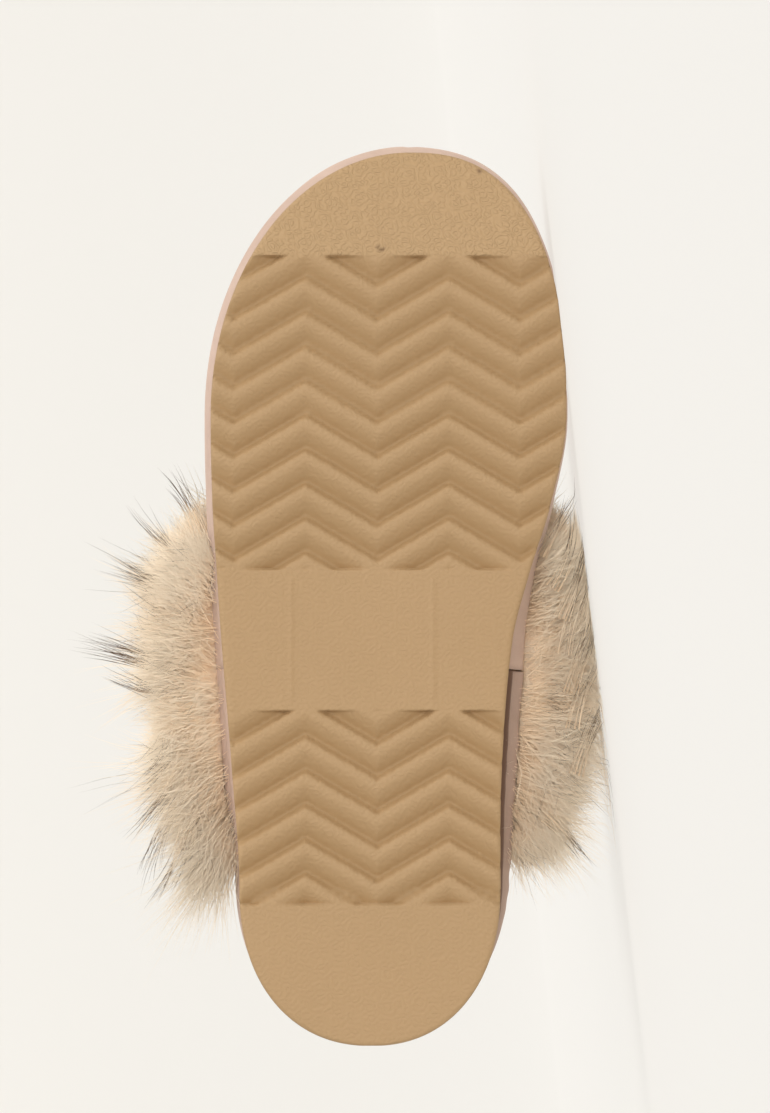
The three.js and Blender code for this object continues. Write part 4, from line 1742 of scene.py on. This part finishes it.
    def build_tufts(self, material: bpy.types.Material) -> None:
        """Makes the listed dark-tipped tufts at the fur's edge.

        Args:
            material: The fur's fibre.
        """
        rng = np.random.default_rng(self.tuft_seed)
        root = np.array([[*t.root, t.height] for t in self.tufts], float)
        tip = np.array([[*t.tip, t.height + 2] for t in self.tufts], float)
        reach = tip - root
        length = np.linalg.norm(reach, axis=1)
        bow = np.cross(unit(reach), np.array([0.0, 0.0, 1.0])) * rng.uniform(-0.3, 0.3, (len(length), 1))
        outside = np.sign(root[:, 1:2]) * np.array([0.0, 0.8, 0.0]) - np.array([0.0, 0.0, 0.6])
        locks = LockSet(root, unit(reach) - bow, bow, length, unit(outside))
        lock = np.repeat(np.arange(len(self.tufts)), [t.hairs for t in self.tufts])
        radius = np.array([t.radius for t in self.tufts])[lock]
        dark = rng.uniform(0.75, 1.0, len(lock))
        self.grow_hairs("fur_dark_tufts", locks, lock, radius, dark, TUFT_HAIR, rng, material)

    def grow_hairs(
        self,
        name: str,
        locks: LockSet,
        lock: Array,
        radius: Array,
        dark: Array,
        style: HairStyle,
        rng: np.random.Generator,
        material: bpy.types.Material,
    ) -> None:
        """Makes hairs as three-sided tapering tubes, closed at the root and the tip.

        A hair follows its lock's axis, which is the root plus direction times length times s plus bend
        times length times s squared. It starts off the axis by its own place in the lock, closes in on
        the axis toward the tip, and has its own stray swing.

        Args:
            name: The piece's name.
            locks: The locks.
            lock: Each hair's lock.
            radius: The radius of each hair's lock.
            dark: How dark each hair's tip is.
            style: How the hairs are drawn.
            rng: Seeded numbers.
            material: The fur's fibre.
        """
        total = len(lock)
        side = unit(np.cross(locks.direction, np.array([0.31, 0.52, 0.79])))
        other = np.cross(locks.direction, side)
        angle = rng.uniform(0, 2 * math.pi, total)
        far = radius * np.sqrt(rng.uniform(0, 1, total))
        offset = (side[lock] * np.cos(angle)[:, None] + other[lock] * np.sin(angle)[:, None]) * far[:, None]
        own = locks.length[lock] * rng.uniform(0.7, 1.06, total)
        swing = steady(rng, style.stray, (total, 3)) * own[:, None]
        s = np.linspace(0, 1, style.rings + 1)[None, :, None]
        lead = locks.direction[lock][:, None] * s + locks.bend[lock][:, None] * s**2
        axis = locks.root[lock][:, None] + lead * own[:, None, None]
        path = axis + offset[:, None] * (1 - style.gather * s**0.8) + swing[:, None] * s**1.6
        past_tread = np.maximum(0, self.tread_gap - path[..., 2])
        path[..., 2] += past_tread * self.press
        laid = self.keep_off_floor(path)
        taper = style.width / 2 * (1 - s[0, :-1, 0] ** 1.5 * 0.75) * rng.uniform(0.7, 1.2, total)[:, None]
        heading = unit(laid[:, -1] - laid[:, 0])
        first = unit(np.cross(heading, rng.normal(size=(total, 3))))
        second = np.cross(heading, first)
        corner = 2 * math.pi * np.arange(3) / 3
        around = (
            first[:, None, None] * np.cos(corner)[None, None, :, None]
            + second[:, None, None] * np.sin(corner)[None, None, :, None]
        )
        rings = laid[:, :-1, None] + around * taper[:, :, None, None] * MM
        points = np.concatenate([rings.reshape(total, -1, 3), laid[:, -1:]], 1)
        points[..., 2] = np.maximum(points[..., 2], 0.00005)
        each = points.shape[1]
        tip = each - 1
        last = tip - 3
        starts = (np.arange(total) * each)[:, None, None]
        tube = tube_faces(style.rings, 3)[None] + starts
        caps = np.array([[0, 2, 1], [last, last + 1, tip], [last + 1, last + 2, tip], [last + 2, last, tip]])
        piece = make_object(
            name, points.reshape(-1, 3), [tube.reshape(-1, 4), (caps[None] + starts).reshape(-1, 3)]
        )
        sides = np.repeat(around, style.rings, 1).reshape(total, -1, 3)
        own_way = np.concatenate([sides, heading[:, None]], 1)
        body_way = (locks.facing @ self.pose.turn().T)[lock][:, None]
        shading = unit(own_way * (1 - self.body_shading) + body_way * self.body_shading)
        piece.data.normals_split_custom_set_from_vertices(shading.reshape(-1, 3))
        along = np.concatenate([np.repeat(s[0, :-1, 0], 3), [1.0]])
        set_attribute(piece, "along", np.tile(along, total))
        set_attribute(piece, "tip", np.repeat(dark, each))
        clump = 0.5 + 0.5 * soft_noise(locks.root, self.tone_clump, 51)[lock]
        tint = np.clip(0.3 * rng.uniform(0, 1, total) + 0.7 * clump, 0, 1)
        set_attribute(piece, "tint", np.repeat(tint, each))
        enlist(piece, material, Slot.FUR)

    def keep_off_floor(self, path: Array) -> Array:
        """Lays hairs down: what would pass under the floor spreads along it, and what is too tall lies over.

        Args:
            path: Hair points in shoe millimetres.

        Returns:
            Points in the part's metres, above the floor.
        """
        turned = (path @ self.pose.turn().T + self.pose.offset) * MM
        turned[..., 1] -= self.press * np.maximum(0, turned[..., 1] - self.crest * MM)
        under = np.maximum(0, self.floor_gap * MM - turned[..., 2])
        middle = turned[:, 0].mean(0)
        away = turned[..., :2] - middle[:2]
        away = away / np.maximum(np.linalg.norm(away, axis=-1, keepdims=True), 0.004)
        turned[..., :2] += away * (under * self.floor_spread)[..., None]
        turned[..., 2] += under
        return turned


@dataclass
class Studio:
    """Pale paper, soft lights and the camera square to the sole."""

    pose: RestPose
    photo_height: int = 1113
    mm_per_pixel: float = 0.2793
    centre_x: float = 136.6
    centre_y: float = 3.6
    distance: float = 1200.0
    camera_height: float = 40.0
    front_from: tuple[float, float, float] = (0.24, -0.95, 0.17)
    front_power: float = 1.51
    overhead_from: tuple[float, float, float] = (0.45, -0.15, 0.88)
    overhead_power: float = 1.2
    front_angle_deg: float = 30.0
    overhead_angle_deg: float = 44.0
    room_light: float = 0.54
    floor_glow: float = 0.68
    paper_white: float = 0.88
    sweep_half: float = 4.0
    sweep_start: float = 1.9
    sweep_bend: float = 0.9
    sweep_height: float = 3.5
    sweep_steps: int = 24
    lamp_colour: str = "#fffefd"
    room_colour: str = "#fffefc"

    def light_on(self, tilt: Array) -> Array:
        """Light on paper of a tilt: each lamp's power by the cosine of its angle over pi, and the room's.

        Args:
            tilt: Turn of the paper from flat toward facing the camera, in radians.

        Returns:
            What white paper would send back.
        """
        total = np.full_like(tilt, self.room_light)
        lamps = ((self.front_from, self.front_power), (self.overhead_from, self.overhead_power))
        for coming_from, power in lamps:
            ray = np.array(coming_from) / np.linalg.norm(coming_from)
            total += power / math.pi * np.maximum(0, ray[2] * np.cos(tilt) - ray[1] * np.sin(tilt))
        return total

    def build_paper(self, material: bpy.types.Material) -> None:
        """Makes the floor that sweeps up into a wall: flat, a quarter circle, then upright.

        Args:
            material: The paper.
        """
        turn = np.linspace(0, math.pi / 2, self.sweep_steps)
        wall = self.sweep_start + self.sweep_bend
        curve = self.sweep_start + self.sweep_bend * np.sin(turn)
        y = np.concatenate([[-self.sweep_half, 0.0], curve, [wall]])
        z = np.concatenate([[0.0, 0.0], self.sweep_bend * (1 - np.cos(turn)), [self.sweep_height]])
        x = np.array([-self.sweep_half, self.sweep_half])
        points = np.stack(np.broadcast_arrays(x[None, :], y[:, None], z[:, None]), -1)
        floor = make_object("paper_sweep", points.reshape(-1, 3), [grid_faces(len(y), 2)])
        tilt = np.concatenate([[0.0, 0.0], turn, [math.pi / 2]])
        # The glow is the paper's own emission, fading from the floor to the wall; it lightens the shoe's
        # shadows on the floor and the fur beside them.
        glow = self.floor_glow * (1 - tilt / (math.pi / 2))
        set_attribute(floor, "tone", np.repeat((self.paper_white - glow) / self.light_on(tilt), 2))
        set_attribute(floor, "glow", np.repeat(glow, 2))
        floor.data.materials.append(material)

    def build_camera(self) -> None:
        """Makes the camera: its right is the inner side, its up is the toe, and it stays over the floor."""
        target = Vector(self.pose.to_row(np.array([[self.centre_x, self.centre_y, 0.0]]))[0])
        toe = self.pose.direction((1, 0, 0))
        ahead = self.pose.direction((0, 0, 1))
        place = target - ahead * self.distance * MM
        place.z = self.camera_height * MM
        back = (place - target).normalized()
        right = toe.cross(back).normalized()
        up = back.cross(right)
        data = bpy.data.cameras.new("camera")
        data.sensor_fit = "AUTO"
        data.sensor_width = 36.0
        half_height = self.photo_height * self.mm_per_pixel / 2
        data.lens = data.sensor_width / 2 * self.distance / half_height
        camera = bpy.data.objects.new("camera", data)
        turn = Matrix((right, up, back)).transposed().to_4x4()
        camera.matrix_world = Matrix.Translation(place) @ turn
        bpy.context.scene.collection.objects.link(camera)
        bpy.context.scene.camera = camera

    def add_light(
        self, name: str, coming_from: tuple[float, float, float], power: float, angle_deg: float
    ) -> None:
        """Adds a broad distant light.

        Args:
            name: Its name.
            coming_from: The direction it comes from.
            power: Its strength.
            angle_deg: How wide it looks in the sky.
        """
        data = bpy.data.lights.new(name, "SUN")
        data.energy = power
        data.angle = math.radians(angle_deg)
        data.color = linear(self.lamp_colour)[:3]
        light = bpy.data.objects.new(name, data)
        light.matrix_world = (-Vector(coming_from)).to_track_quat("-Z", "Y").to_matrix().to_4x4()
        bpy.context.scene.collection.objects.link(light)

    def build_lights(self) -> None:
        """Hangs a front light by the camera, one overhead toward the toe, and pale light all round."""
        self.add_light("front_light", self.front_from, self.front_power, self.front_angle_deg)
        self.add_light("overhead_light", self.overhead_from, self.overhead_power, self.overhead_angle_deg)
        world = bpy.data.worlds.new("pale_room")
        world.use_nodes = True
        backdrop = world.node_tree.nodes["Background"]
        backdrop.inputs["Color"].default_value = linear(self.room_colour)
        backdrop.inputs["Strength"].default_value = self.room_light
        bpy.context.scene.world = world
        bpy.context.scene.view_settings.view_transform = "Standard"


def main() -> None:
    """Builds the slipper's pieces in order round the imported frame, then the studio."""
    logging.basicConfig(level=logging.INFO, format="%(name)s %(message)s")
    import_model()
    outline = SoleOutline()
    pose = RestPose()
    outsole = Outsole(outline, pose)
    pose.fit_to(outline, outsole.thickness)
    LOG.info("shoe offset in mm: %s", np.round(pose.offset, 2))
    studio = Studio(pose)
    studio.build_camera()
    suede = BrushedSuede().build()
    vamp = Vamp(outline, pose)
    outsole.build(MouldedRubber().build())
    vamp.build(suede)
    Platform(outline, pose).build(suede)
    Insole(outline, pose).build(PlushPile().build())
    fur = FurCuff(vamp, pose)
    fibre = FurFibre().build()
    fur.build_core(FurUndercoat().build())
    for layer in fur.layers:
        fur.build_layer(layer, fibre)
    fur.build_tufts(fibre)
    studio.build_paper(PalePaper().build())
    studio.build_lights()


if __name__ == "__main__":
    main()
